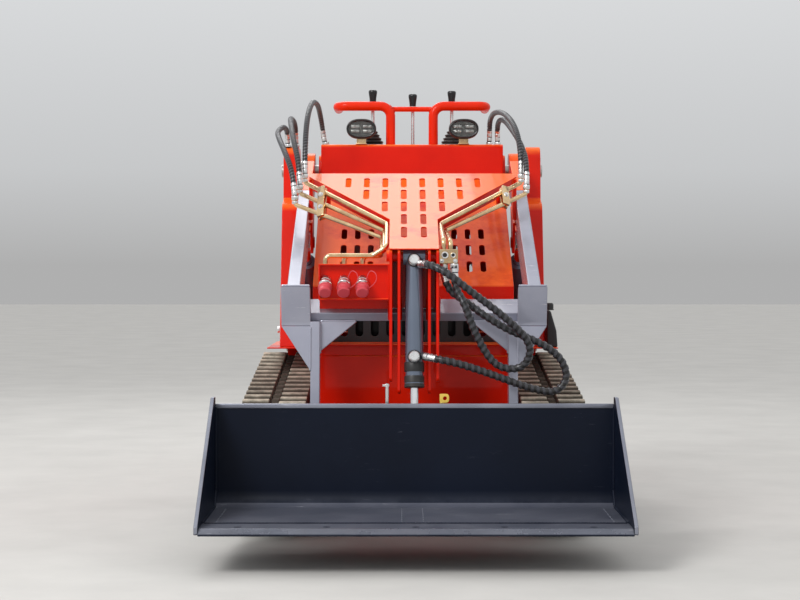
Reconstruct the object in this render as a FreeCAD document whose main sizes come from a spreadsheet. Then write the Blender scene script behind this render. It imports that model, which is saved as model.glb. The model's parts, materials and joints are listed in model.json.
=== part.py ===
import FreeCAD, Part
import math
import os
from FreeCAD import Placement, Rotation, Vector

# A small tracked loader that is driven from a platform behind it.
# Y runs from the bucket back to the platform and Z is up from the ground. Seen from in front of
# the bucket, X runs to the right, and pieces are named right and left in that view. All sizes are
# in millimetres.

doc = FreeCAD.newDocument("StandOnLoader")

# Driving sizes: name, value, what it measures
SIZES = [
    ("overall_length", 2100, "cutting edge to the back of the platform"),
    ("bucket_width", 1060, "over the side plates"),
    ("bucket_depth", 454, "cutting edge to the back plate's rear face"),
    ("bucket_height", 265, "floor to the top of the back plate"),
    ("bucket_clearance", 94, "ground to the underside of the cutting edge"),
    ("bucket_plate", 8, "floor and back plate"),
    ("bucket_side_plate", 10, "side plates"),
    ("bucket_side_rise", 20, "side plates above the back plate"),
    ("bucket_bend", 40, "inside bend between floor and back plate"),
    ("edge_plate", 16, "cutting edge"),
    ("edge_width", 110, "cutting edge, front to back"),
    ("edge_bolt_pitch", 214, "between the cutting edge's bolt holes"),
    ("edge_bolt_diameter", 18, "cutting edge's bolt holes"),
    ("edge_bolt_setback", 52, "lip to the cutting edge's bolt holes"),
    ("mount_plate", 12, "plate that carries the bucket"),
    ("mount_plate_width", 520, "plate that carries the bucket"),
    ("mount_plate_height", 212, "plate that carries the bucket"),
    ("mount_plate_lift", 50, "cutting edge's underside to the plate's"),
    ("ear_width", 26, "ears round the bucket's pivot pins"),
    ("ear_gap", 2, "between an ear and its leg"),
    ("tilt_lug", 14, "lugs either side of the tilt rod's eye"),
    ("tilt_lug_x", 20, "inner faces of the tilt rod's lugs"),
    ("tilt_eye_radius", 22, "tilt rod's eye"),
    ("lock_handle_x", 72, "bucket lock levers"),
    ("tilt_pivot_y", -455, "bucket's pivot on the arm"),
    ("tilt_pivot_z", 205, "bucket's pivot on the arm"),
    ("tilt_eye_y", -525, "tilt rod's eye"),
    ("tilt_eye_z", 345, "tilt rod's eye"),
    ("tilt_top_y", -455, "tilt cylinder's pin on the arm"),
    ("tilt_top_z", 763, "tilt cylinder's pin on the arm"),
    ("tilt_barrel_diameter", 48, "tilt cylinder"),
    ("tilt_rod_diameter", 22, "tilt cylinder"),
    ("tilt_barrel_length", 354, "tilt cylinder, pin to the gland's face"),
    ("arm_pivot_y", 500, "arm's pivot in the towers"),
    ("arm_pivot_z", 1038, "arm's pivot in the towers"),
    ("arm_centre_x", 324.5, "middle of each side arm"),
    ("arm_width", 35, "side arm's tube"),
    ("arm_depth", 100, "side arm's tube"),
    ("arm_front_y", -430, "lower end of the side arm's middle line"),
    ("arm_front_z", 632, "lower end of the side arm's middle line"),
    ("arm_bend_y", 140, "bend in the side arm's middle line"),
    ("arm_bend_z", 897, "bend in the side arm's middle line"),
    ("arm_boss_radius", 56, "round end of the arm at its pivot"),
    ("cross_beam_drop", 75, "arm's top face down to the beam's"),
    ("cross_beam_depth", 88, "beam between the side arms, along the arm"),
    ("cross_beam_wall", 12, "beam between the side arms"),
    ("corner_outer_x", 358, "outer edge of the arm's lower corner"),
    ("bracket_inner_x", 36.5, "inner plates of the tilt cylinder's bracket"),
    ("bracket_outer_x", 58.5, "outer plates of the tilt cylinder's bracket"),
    ("bracket_plate", 8, "tilt cylinder's bracket"),
    ("bracket_reach", 45, "tilt pin to the bracket's front edge"),
    ("bracket_depth", 100, "bracket, front to back"),
    ("hose_block_width", 50, "ported block beside the bracket"),
    ("leg_width", 25, "leg that carries the bucket's pivot"),
    ("leg_centre_x", 266.5, "middle of each leg"),
    ("leg_boss_radius", 36, "leg's round lower end"),
    ("leg_shoulder", 25, "leg's front line before the arm's lower corner"),
    ("leg_plate", 10, "leaning plates beside the legs"),
    ("leg_spread", 133, "plate from the leg out to the arm, down the leg"),
    ("leg_gusset", 100, "plate between the leg and the cross beam"),
    ("pin_diameter", 30, "bucket and lift cylinder pins"),
    ("arm_pin_diameter", 40, "arm's pivot pins"),
    ("pin_clearance", 0.1, "between a pin and the bore that turns on it"),
    ("lift_base_y", 690, "lift cylinder's pin on the tower"),
    ("lift_base_z", 470, "lift cylinder's pin on the tower"),
    ("lift_eye_y", 170, "lift rod's eye"),
    ("lift_eye_z", 807, "lift rod's eye"),
    ("lift_eye_radius", 24, "lift rod's eye"),
    ("lift_lug", 8, "lugs either side of the lift rod's eye"),
    ("lift_barrel_diameter", 52, "lift cylinder"),
    ("lift_rod_diameter", 30, "lift cylinder"),
    ("lift_barrel_length", 515, "lift cylinder, pin to the gland's face"),
    ("body_half_width", 287, "chassis and bonnet"),
    ("frame_plate", 8, "chassis plates"),
    ("frame_front_y", -260, "chassis front plate"),
    ("frame_rear_y", 708, "chassis rear plate"),
    ("frame_bottom_z", 140, "chassis floor's underside"),
    ("frame_top_z", 519, "chassis top edge"),
    ("front_cover", 14, "cover plate on the chassis front"),
    ("front_shelf", 24, "shelf over the chassis front"),
    ("sheet", 4, "body sheet"),
    ("nose_y", -130, "bonnet's front face"),
    ("nose_bottom_z", 640, "bonnet's lower front edge"),
    ("nose_top_z", 676, "bonnet's upper front edge"),
    ("bonnet_end_y", 440, "bonnet's upper end at the console"),
    ("bonnet_end_z", 1018, "bonnet's upper end at the console"),
    ("console_depth", 200, "console, front to back"),
    ("console_top_z", 1120, "console's top"),
    ("tower_inner_x", 359, "towers' inner faces"),
    ("tower_width", 47, "towers"),
    ("tower_top_z", 1114, "towers' top"),
    ("fender_z", 486, "underside of the plates over the tracks"),
    ("fender_outer_x", 440, "outer edge of the plates over the tracks"),
    ("fender_reach", 320, "front of the plates over the tracks, before the arm's pivot"),
    ("fuel_tank_length", 230, "fuel tank"),
    ("fuel_tank_height", 112, "fuel tank"),
    ("engine_width", 380, "engine and pumps"),
    ("engine_length", 460, "engine and pumps"),
    ("engine_height", 472, "engine and pumps"),
    ("track_inner_x", 298, "tracks' inner edges"),
    ("track_width", 178, "tracks"),
    ("lug_height", 26, "track lugs"),
    ("belt_thickness", 20, "track belt"),
    ("front_wheel_y", -300, "front idler"),
    ("front_track_radius", 181, "front idler to the lugs' tips"),
    ("rear_wheel_y", 430, "rear idler"),
    ("rear_track_radius", 120, "rear idler to the lugs' tips"),
    ("drive_y", 560, "drive sprocket"),
    ("drive_z", 282, "drive sprocket"),
    ("drive_track_radius", 178, "drive sprocket to the lugs' tips"),
    ("roller_diameter", 110, "bottom rollers"),
    ("handle_tube", 30, "handlebar tube"),
    ("handle_z", 1246, "handlebars' top line"),
    ("handle_inner_x", 68, "handlebars' upright tubes"),
    ("handle_outer_x", 237, "handlebars' grips"),
    ("handle_grip", 120, "grips, front to back"),
    ("knob_height", 40, "lever knobs"),
    ("lever_diameter", 12, "lever shafts"),
    ("lamp_width", 94, "work lights"),
    ("lamp_depth", 46, "work lights, front to back"),
    ("platform_thickness", 30, "operator's platform"),
    ("platform_z", 190, "top of the operator's platform"),
    ("platform_width", 460, "operator's platform"),
    ("platform_hinge", 22, "chassis rear plate to the platform's hinge"),
    ("platform_pin", 20, "platform's hinge pins"),
    ("panel_length", 646, "perforated panel, up its slope"),
    ("panel_top_y", 104, "perforated panel's upper edge"),
    ("panel_top_z", 1008, "perforated panel's upper edge"),
    ("panel_stem", 235, "panel's straight stem, up its slope"),
    ("panel_top_edge", 31, "panel's full-width band, up its slope"),
    ("panel_first_row", 88, "panel's upper edge to the first row of slots"),
    ("panel_row_pitch", 107, "between the panel's rows of slots"),
    ("panel_fold", 34, "folds under the panel's slanting edges"),
    ("panel_cheek", 10, "plates from the panel down to the arms"),
    ("slot_pitch", 54, "between columns of slots"),
    ("slot_width", 16, "slots in the panel and the bonnet"),
    ("slot_length", 84, "slots in the panel"),
    ("slot_edge", 18, "least metal between a slot and the panel's edge"),
    ("bonnet_slot_length", 58, "slots in the bonnet"),
    ("bonnet_first_row", 108, "bonnet's front edge to its first row, up its slope"),
    ("bonnet_row_pitch", 94, "between the bonnet's rows of slots"),
    ("bonnet_first_column", 124, "middle of the bonnet to its first column of slots"),
    ("bonnet_column_pitch", 40, "between the bonnet's columns of slots"),
    ("vent_pitch", 44, "between cooling slots in the sides, the rear and the grille"),
    ("wheel_gap", 0.3, "between a wheel and its track"),
    ("wheel_side_gap", 0.5, "between a wheel and the plate beside it"),
    ("wheel_inset", 44, "track's edge to the side of its wheels"),
    ("roller_pitch", 128, "between the bottom rollers"),
    ("first_roller", 190, "front idler to the first roller"),
    ("lug_count", 40, "lugs round a track"),
    ("lug_base", 38, "lug's foot, along the track"),
    ("lug_tip", 24, "lug's tip, along the track"),
    ("tow_plate", 16, "rear towing tongue"),
    ("tow_hole", 26, "rear towing tongue"),
    ("panel_sheet", 4, "perforated panel on the arm"),
    ("arm_hose_diameter", 16, "hoses between the towers and the arms"),
    ("hose_diameter", 20, "hydraulic hoses over their spiral guard"),
    ("pipe_diameter", 13, "plated pipes"),
    ("pipe_start", 122, "panel's upper edge to the first pipe's upper end"),
    ("pipe_step_v", 40, "between the pipes' upper ends, up the slope"),
    ("pipe_step", 20, "between the pipes, square to the slope"),
    ("coupler_pitch", 50, "between the quick couplers"),
    ("coupler_box_width", 190, "coupler box"),
    ("coupler_box_height", 97, "coupler box"),
]

sheet = doc.addObject("Spreadsheet::Sheet", "Sizes")
for row, (alias, value, note) in enumerate(SIZES, 1):
    sheet.set(f"A{row}", note)
    sheet.set(f"B{row}", str(value))
    sheet.setAlias(f"B{row}", alias)
doc.recompute()


class Values:
    pass


s = Values()
for alias, value, note in SIZES:
    setattr(s, alias, float(sheet.get(alias)))

nodes = {}
counter = [0]


# Helpers

def fresh(kind, name="piece"):
    counter[0] += 1
    return doc.addObject(kind, f"{name}_{counter[0]}")


def keep(label, thing):
    thing.Label = label
    nodes[label] = thing
    return thing


def corner(before, point, after, radius):
    """Tangent points and middle of the arc that rounds a corner."""
    a = (before - point).normalize()
    b = (after - point).normalize()
    half = math.acos(max(-1.0, min(1.0, a.dot(b)))) / 2
    run = radius / math.tan(half)
    middle = (a + b).normalize()
    centre = point + middle * (radius / math.sin(half))
    return point + a * run, centre - middle * radius, point + b * run


def outline(points):
    """Edges of a closed outline whose points are (u, v) or (u, v, corner radius)."""
    flat = [Vector(p[0], p[1], 0) for p in points]
    radii = [p[2] if len(p) > 2 else 0 for p in points]
    count = len(flat)
    edges = []
    starts = []
    for i in range(count):
        if radii[i] > 0:
            trio = corner(flat[i - 1], flat[i], flat[(i + 1) % count], radii[i])
        else:
            trio = (flat[i], None, flat[i])
        starts.append(trio)
    for i in range(count):
        here, middle, leave = starts[i]
        if middle is not None:
            edges.append(Part.Arc(here, middle, leave))
        following = starts[(i + 1) % count][0]
        if (following - leave).Length > 1e-6:
            edges.append(Part.LineSegment(leave, following))
    return edges


def circle(u, v, radius):
    return [Part.Circle(Vector(u, v, 0), Vector(0, 0, 1), radius)]


def ring_slot(u, v, length, height):
    """An upright slot with round ends."""
    r = length / 2 - 0.01
    a = length / 2
    b = height / 2
    return outline([(u - a, v - b, r), (u + a, v - b, r), (u + a, v + b, r), (u - a, v + b, r)])


def pad(plane, outlines, length, offset):
    """A PartDesign body: outlines on a plane, padded by length towards +X, +Y or +Z."""
    body = fresh("PartDesign::Body", "body")
    sketch = body.newObject("Sketcher::SketchObject", body.Name + "_sketch")
    origin = next(f for f in body.Origin.OriginFeatures if f.Role == plane)
    sketch.AttachmentSupport = [(origin, "")]
    sketch.MapMode = "FlatFace"
    for edges in outlines:
        sketch.addGeometry(edges, False)
    feature = body.newObject("PartDesign::Pad", body.Name + "_pad")
    feature.Profile = sketch
    if isinstance(length, str):
        feature.setExpression("Length", length)
    else:
        feature.Length = length
    feature.Reversed = plane == "XZ_Plane"
    axis = {"YZ_Plane": Vector(1, 0, 0), "XZ_Plane": Vector(0, 1, 0), "XY_Plane": Vector(0, 0, 1)}
    body.Placement = Placement(axis[plane] * offset, Rotation())
    return body


def side_plate(outlines, length, x):
    return pad("YZ_Plane", outlines, length, x)


def front_plate(outlines, length, y):
    return pad("XZ_Plane", outlines, length, y)


def flat_plate(outlines, length, z):
    return pad("XY_Plane", outlines, length, z)


def box(x, y, z):
    """A box between pairs of coordinates."""
    block = fresh("Part::Box", "box")
    block.Length = x[1] - x[0]
    block.Width = y[1] - y[0]
    block.Height = z[1] - z[0]
    block.Placement = Placement(Vector(x[0], y[0], z[0]), Rotation())
    return block


def round_bar(start, direction, length, radius):
    bar = fresh("Part::Cylinder", "bar")
    if isinstance(radius, str):
        bar.setExpression("Radius", radius)
    else:
        bar.Radius = radius
    bar.Height = length
    bar.Placement = Placement(Vector(*start), Rotation(Vector(0, 0, 1), Vector(*direction)))
    return bar


def cross_bar(x, y, z, radius):
    """A round bar along X between a pair of coordinates."""
    return round_bar((x[0], y, z), (1, 0, 0), x[1] - x[0], radius)


def join(things):
    if len(things) == 1:
        return things[0]
    union = fresh("Part::MultiFuse", "union")
    union.Shapes = things
    union.Refine = True
    return union


def cut(base, tools):
    rest = fresh("Part::Cut", "cut")
    rest.Base = base
    rest.Tool = join(tools)
    rest.Refine = True
    return rest


def group(things):
    """Separate pieces of one kind that don't touch each other."""
    compound = fresh("Part::Compound", "group")
    compound.Links = things
    return compound


def mirrored(thing):
    twin = fresh("Part::Mirroring", "mirrored")
    twin.Source = thing
    twin.Normal = Vector(1, 0, 0)
    twin.Base = Vector(0, 0, 0)
    return twin


def both(label, thing):
    """The piece on the machine's two sides, each with a name of its own."""
    keep(label + "_right", thing)
    keep(label + "_left", mirrored(thing))


def route_wire(points):
    """Straight runs joined by tangent arcs, each as large as its two runs allow."""
    spots = [Vector(*p) for p in points]
    edges = []
    radii = []
    at = spots[0]
    for i in range(1, len(spots) - 1):
        before = spots[i - 1] - spots[i]
        after = spots[i + 1] - spots[i]
        short = min(before.Length, after.Length)
        turn = math.pi - before.getAngle(after)
        radius = 0.45 * short / math.tan(turn / 2)
        enter, middle, leave = corner(spots[i - 1], spots[i], spots[i + 1], radius)
        edges.append(Part.LineSegment(at, enter).toShape())
        edges.append(Part.Arc(enter, middle, leave).toShape())
        radii.append(radius)
        at = leave
    edges.append(Part.LineSegment(at, spots[-1]).toShape())
    return Part.Wire(edges), radii


def tube(wire, diameter):
    first = wire.Edges[0]
    start = first.valueAt(first.FirstParameter)
    direction = first.tangentAt(first.FirstParameter)
    section = Part.Wire([Part.makeCircle(diameter / 2, start, direction)])
    return wire.makePipeShell([section], True, False)


def solid(shape, label="shape"):
    feature = fresh("Part::Feature", label)
    feature.Shape = shape
    return feature


def hose(label, points, diameter):
    """A hose along a chosen route, with its tightest bend and its volume reported."""
    wire, radii = route_wire(points)
    shape = tube(wire, diameter)
    expected = math.pi * diameter ** 2 / 4 * wire.Length
    print(f"{label}: length {wire.Length:.0f} mm, tightest radius {min(radii):.0f} mm,",
          f"volume ratio {shape.Volume / expected:.4f}")
    keep(label, solid(shape, label))


def bent_pipe(points, diameter, radius):
    """A plated pipe: straight runs and one bend radius."""
    spots = [Vector(*p) for p in points]
    edges = []
    at = spots[0]
    for i in range(1, len(spots) - 1):
        enter, middle, leave = corner(spots[i - 1], spots[i], spots[i + 1], radius)
        edges.append(Part.LineSegment(at, enter).toShape())
        edges.append(Part.Arc(enter, middle, leave).toShape())
        at = leave
    edges.append(Part.LineSegment(at, spots[-1]).toShape())
    return tube(Part.Wire(edges), diameter)


# How far a cutting tool runs past the piece that it cuts
CUT_OVER = 5
# Control levers: X, knob's top above the console
LEVERS = ((-125, 181), (3, 168), (128, 178))

# Places that several pieces share

lip_y = -s.overall_length / 2
bucket_back_y = lip_y + s.bucket_depth
floor_top_z = s.bucket_clearance + s.edge_plate
mount_rear_y = bucket_back_y + s.mount_plate
arm_slope = math.atan2(s.arm_bend_z - s.arm_front_z, s.arm_bend_y - s.arm_front_y)
rear_slope = math.atan2(s.arm_pivot_z - s.arm_bend_z, s.arm_pivot_y - s.arm_bend_y)
arm_inner_x = s.arm_centre_x - s.arm_width / 2
arm_outer_x = s.arm_centre_x + s.arm_width / 2
tower_outer_x = s.tower_inner_x + s.tower_width
mount_top_z = s.bucket_clearance + s.mount_plate_lift + s.mount_plate_height
bracket_half = s.bracket_outer_x + s.bracket_plate
panel_front = (s.tilt_top_y - s.bracket_reach, s.tilt_top_z + 16)
panel_slope = math.atan2(s.panel_top_z - panel_front[1], s.panel_top_y - panel_front[0])
panel_spread = (arm_inner_x - bracket_half) / (s.panel_length - s.panel_top_edge - s.panel_stem)
coupler_box_top = s.tilt_top_z - 21
coupler_places = [-bracket_half - 72 - i * s.coupler_pitch for i in range(3)]
console_low_z = s.bonnet_end_z - 40
console_rear_y = s.bonnet_end_y + s.console_depth
lever_y = s.bonnet_end_y + 110
belt_line = s.lug_height + s.belt_thickness + s.wheel_gap
wheel_x = (s.track_inner_x + s.wheel_inset, s.track_inner_x + s.track_width - s.wheel_inset)
first_roller_y = s.front_wheel_y + s.first_roller
platform_middle_z = s.platform_z - s.platform_thickness / 2
bonnet_slope = math.atan2(s.bonnet_end_z - s.nose_top_z, s.bonnet_end_y - s.nose_y)


def along(y, z, angle, forward, up):
    """A point at a distance along and across a sloping line in the side view."""
    return (
        y + forward * math.cos(angle) - up * math.sin(angle),
        z + forward * math.sin(angle) + up * math.cos(angle),
    )


# Bucket and the plate that carries it

def bucket_shell():
    t = s.bucket_plate
    half = s.bucket_width / 2 - s.bucket_side_plate
    floor_y = lip_y + s.edge_width
    top = floor_top_z + s.bucket_height
    bend = s.bucket_bend
    profile = outline([
        (floor_y, floor_top_z - t), (bucket_back_y, floor_top_z - t, bend + t), (bucket_back_y, top),
        (bucket_back_y - t, top), (bucket_back_y - t, floor_top_z, bend), (floor_y, floor_top_z),
    ])
    keep("bucket_shell", side_plate([profile], "Sizes.bucket_width - 2 * Sizes.bucket_side_plate", -half))


def bucket_sides():
    """The side plates: set back from the lip, higher than the back plate and cut away at the heel."""
    setback = 6
    lift = 2
    heel = 30
    heel_round = 24
    low = s.bucket_clearance + lift
    top = floor_top_z + s.bucket_height + s.bucket_side_rise
    profile = outline([
        (lip_y + setback, low), (bucket_back_y - heel, low, heel_round),
        (bucket_back_y, low + 2 * heel, heel_round), (bucket_back_y, top), (bucket_back_y - heel, top),
        (lip_y + setback, floor_top_z + setback),
    ])
    right = side_plate([profile], "Sizes.bucket_side_plate", s.bucket_width / 2 - s.bucket_side_plate)
    keep("bucket_sides", group([right, mirrored(right)]))


def cutting_edge():
    half = s.bucket_width / 2 - s.bucket_side_plate
    z = s.bucket_clearance
    bevel = 22
    land = 5
    profile = outline([
        (lip_y, z), (lip_y + s.edge_width, z), (lip_y + s.edge_width, floor_top_z),
        (lip_y + bevel, floor_top_z), (lip_y, z + land),
    ])
    blade = side_plate([profile], "Sizes.bucket_width - 2 * Sizes.bucket_side_plate", -half)
    holes = [
        round_bar((i * s.edge_bolt_pitch, lip_y + s.edge_bolt_setback, z - CUT_OVER), (0, 0, 1),
                  s.edge_plate + 2 * CUT_OVER, "Sizes.edge_bolt_diameter / 2")
        for i in range(-2, 3)
    ]
    keep("cutting_edge", cut(blade, holes))


def mount_plate():
    """The plate behind the bucket, with its pivot ears and the lugs for the tilt rod's eye."""
    half = s.mount_plate_width / 2
    low = mount_top_z - s.mount_plate_height
    corner_round = 30
    plate = front_plate([outline([
        (-half, low), (half, low), (half, mount_top_z, corner_round), (-half, mount_top_z, corner_round)])],
        "Sizes.mount_plate", bucket_back_y)
    y, z = s.tilt_pivot_y, s.tilt_pivot_z
    reach = s.pin_diameter / 2 + 19
    ear_x = s.leg_centre_x - s.leg_width / 2 - s.ear_gap - s.ear_width
    ear = side_plate([
        outline([(mount_rear_y, low + 4), (y, z - reach, reach - 1), (y + reach, z, 20),
                 (y, z + reach, reach - 1), (mount_rear_y, z + 90)]),
        circle(y, z, s.pin_diameter / 2 + s.pin_clearance)], "Sizes.ear_width", ear_x)
    y, z = s.tilt_eye_y, s.tilt_eye_z
    reach = s.tilt_eye_radius + 6
    lug = side_plate([outline([
        (mount_rear_y, z - 60), (y, z - reach, reach - 2), (y + reach, z, 18), (y, z + reach, reach - 2),
        (mount_rear_y, z + 30)])], "Sizes.tilt_lug", s.tilt_lug_x)
    lug_outer_x = s.tilt_lug_x + s.tilt_lug
    boss = cross_bar((lug_outer_x, lug_outer_x + 6), y, z, s.pin_diameter / 2 + 2)
    keep("mount_plate", join([plate, ear, mirrored(ear), lug, mirrored(lug), boss, mirrored(boss)]))


def lock_handles():
    """The bucket's two locks: a thin lever with a small bar on the left, a drilled tab on the right."""
    y = mount_rear_y + 12
    x = s.lock_handle_x
    foot_low, foot_top = mount_top_z - 90, mount_top_z - 66
    foot = box((x - 8, x + 8), (mount_rear_y, y + 8), (foot_low, foot_top))
    bar_z = mount_top_z + 64
    left = join([
        mirrored(foot),
        round_bar((-x, y, foot_top), (0, 0, 1), bar_z + 8 - foot_top, 4.5),
        box((-x - 12, -x + 6), (y - 3, y + 3), (bar_z, bar_z + 6))])
    tab_z = mount_top_z + 21
    tab = front_plate([
        outline([(x - 6, tab_z, 3), (x + 19, tab_z, 8), (x + 19, tab_z + 24, 8), (x - 6, tab_z + 24, 3)]),
        circle(x + 8, tab_z + 12, 5)], 6, y - 3)
    right = join([foot, round_bar((x, y, foot_top), (0, 0, 1), tab_z + 2 - foot_top, 4.5), tab])
    keep("lock_handles", group([left, right]))


# Loader arm

def arm_corners():
    """The side arm's lower end in the side view: its upper and its lower corner."""
    half = s.arm_depth / 2
    return [along(s.arm_front_y, s.arm_front_z, arm_slope, 0, up) for up in (half, -half)]


def link_start():
    """Where the side arm's tube meets its rear link: the upper and the lower corner."""
    half = s.arm_depth / 2
    return [along(s.arm_bend_y, s.arm_bend_z, rear_slope, 60, up) for up in (half, -half)]


def side_arm():
    """The grey tube of the side arm, from its lower corner to just past its bend."""
    half = s.arm_depth / 2
    top_front, low_front = arm_corners()
    middle = (arm_slope + rear_slope) / 2
    spread = half / math.cos((arm_slope - rear_slope) / 2)
    top_bend = along(s.arm_bend_y, s.arm_bend_z, middle, 0, spread)
    low_bend = along(s.arm_bend_y, s.arm_bend_z, middle, 0, -spread)
    top_end, low_end = link_start()
    beam = side_plate([outline([low_front, low_bend, low_end, top_end, top_bend, top_front])],
                      "Sizes.arm_width", arm_inner_x)
    both("arm", beam)


def rear_link():
    """The round-ended plate from the side arm's tube back to its pivot."""
    top_end, low_end = link_start()
    y, z = s.arm_pivot_y, s.arm_pivot_z
    r = s.arm_boss_radius
    top_near = along(y, z, rear_slope, -r, r * 0.95)
    low_near = along(y, z, rear_slope, -r, -r * 0.95)
    beam = side_plate([outline([low_end, low_near, top_near, top_end])], "Sizes.arm_width", arm_inner_x)
    boss = cross_bar((arm_inner_x, arm_outer_x), y, z, "Sizes.arm_boss_radius")
    bore = cross_bar((arm_inner_x - CUT_OVER, arm_outer_x + CUT_OVER), y, z,
                     "Sizes.arm_pin_diameter / 2 + Sizes.pin_clearance")
    both("rear_link", cut(join([beam, boss]), [bore]))


def lift_lugs():
    """The plates either side of the arm that carry the lift rod's eye."""
    r = s.lift_eye_radius + 6
    t = s.lift_lug
    front, rear = [along(s.arm_bend_y, s.arm_bend_z, rear_slope, d, -20) for d in (-40, 110)]
    y, z = s.lift_eye_y, s.lift_eye_z
    profile = outline([
        front, (y - r * 1.1, z - r * 0.5, 12), (y - r * 0.3, z - r * 1.15, 12),
        (y + r * 0.9, z - r * 0.8, 16), rear])
    stub = s.pin_diameter / 2 + 2
    inner = join([side_plate([profile], "Sizes.lift_lug", arm_inner_x - t),
                  cross_bar((arm_inner_x - t - 4, arm_inner_x - t), y, z, stub)])
    outer = join([side_plate([profile], "Sizes.lift_lug", arm_outer_x),
                  cross_bar((arm_outer_x + t, arm_outer_x + t + 4), y, z, stub)])
    keep("lift_lugs", group([inner, outer, mirrored(inner), mirrored(outer)]))


def cross_beam():
    """The folded beam between the side arms, set down from the arms' top faces."""
    top = s.arm_depth / 2 - s.cross_beam_drop
    low = -s.arm_depth / 2
    d = s.cross_beam_depth
    w = s.cross_beam_wall
    across_along = [
        (0, low), (w, low), (w, top - w), (d - w, top - w), (d - w, low), (d, low), (d, top), (0, top)]
    profile = outline([along(s.arm_front_y, s.arm_front_z, arm_slope, f, u) for f, u in across_along])
    keep("cross_beam", side_plate([profile], "2 * (Sizes.arm_centre_x - Sizes.arm_width / 2)", -arm_inner_x))


def leg():
    """A leg down to the bucket's pivot, leaning back, with the corner that spreads it out to the arm."""
    x = s.leg_centre_x - s.leg_width / 2
    outer = x + s.leg_width
    top_front, low_front = arm_corners()
    low_rear = along(s.arm_front_y, s.arm_front_z, arm_slope, s.cross_beam_depth, -s.arm_depth / 2)
    y0, z0 = s.tilt_pivot_y, s.tilt_pivot_z
    r = s.leg_boss_radius
    shoulder = low_front[0] - s.leg_shoulder
    lean = math.atan2(shoulder - y0 + r, low_front[1] - z0)
    blade = side_plate([outline([
        (y0 - r, z0), (shoulder, low_front[1]), low_front, low_rear,
        (low_front[0] + 14, low_front[1] - 66), (y0 + r, z0)])], "Sizes.leg_width", x)
    boss = cross_bar((x, outer), y0, z0, "Sizes.leg_boss_radius")
    bore = cross_bar((x - CUT_OVER, outer + CUT_OVER), y0, z0, "Sizes.pin_diameter / 2")
    step = 12
    block = side_plate([outline([
        (shoulder, low_front[1] - step), (low_front[0], low_front[1] - step), low_front, top_front,
        (top_front[0] - 10, top_front[1] + 4), (shoulder, low_front[1])])], s.corner_outer_x - outer, outer)
    # Leaning plates: across, and up the leg's front line from its foot
    run = (low_front[1] - z0) / math.cos(lean)
    turn = math.pi / 2 - lean
    t = s.leg_plate
    behind = along(y0 - r, z0, turn, 0, -t)
    spread = sloped_plate([outline([
        (outer, run - s.leg_spread), (s.corner_outer_x, run - step), (outer, run - step)])],
        t, behind[0], behind[1], turn)
    set_back = low_front[0] - shoulder - t
    gusset = sloped_plate([outline([
        (x, run - s.leg_gusset * 0.82), (x, run), (x - s.leg_gusset, run)])],
        t, behind[0] + set_back, behind[1], turn)
    both("leg", join([cut(join([blade, boss]), [bore]), block, spread, gusset]))


def bucket_pins():
    """The pins that the bucket's plate turns on, fast in the legs."""
    inner = s.leg_centre_x - s.leg_width / 2 - s.ear_gap - s.ear_width - 2
    outer = s.leg_centre_x + s.leg_width / 2 + 6
    pin = cross_bar((inner, outer), s.tilt_pivot_y, s.tilt_pivot_z, "Sizes.pin_diameter / 2")
    keep("bucket_pins", group([pin, mirrored(pin)]))


def tilt_bracket():
    """Two pairs of upright plates on the cross beam that hold the tilt cylinder's top."""
    half = s.arm_depth / 2
    front, top = panel_front
    rear = front + s.bracket_depth
    rear_top = top + (rear - front) * math.tan(panel_slope)
    beam_top = along(s.arm_front_y, s.arm_front_z, arm_slope, 0, half - s.cross_beam_drop)
    beam_low = along(s.arm_front_y, s.arm_front_z, arm_slope, 0, -half)
    slope = math.tan(arm_slope)
    seat = beam_top[1] + (rear - beam_top[0]) * slope
    tongue = 58
    plates = []
    for x, drop in ((s.bracket_inner_x, 384), (s.bracket_outer_x, 352)):
        profile = outline([
            (front, top - drop, 12), (front + tongue, top - drop, 12), (front + tongue, beam_low[1] - 30),
            beam_low, beam_top, (rear, seat), (rear, rear_top), (front, top, 20)])
        plates.append(side_plate([profile], "Sizes.bracket_plate", x))
    t = s.bracket_plate
    back = box((-bracket_half, bracket_half), (rear, rear + t), (seat + t * slope, rear_top))
    block = box((bracket_half, bracket_half + s.hose_block_width), (front + 3, front + 33),
                (top - 36, top + 2))
    pin = cross_bar((-bracket_half - t, bracket_half), s.tilt_top_y, s.tilt_top_z, "Sizes.pin_diameter / 2")
    keep("tilt_bracket", join(plates + [mirrored(p) for p in plates] + [back, pin]))
    keep("hose_block", block)


def sloped_plate(outlines, length, y, z, angle):
    """A plate whose outline runs across and up a slope from a front edge at y, z."""
    plate = flat_plate(outlines, length, 0)
    plate.Placement = Placement(Vector(0, y, z), Rotation(Vector(1, 0, 0), math.degrees(angle)))
    return plate


def panel_half(v):
    """The panel's half width, v up its slope: a stem first, then widening to the arms."""
    return bracket_half + max(0, v - s.panel_stem) * panel_spread


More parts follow.
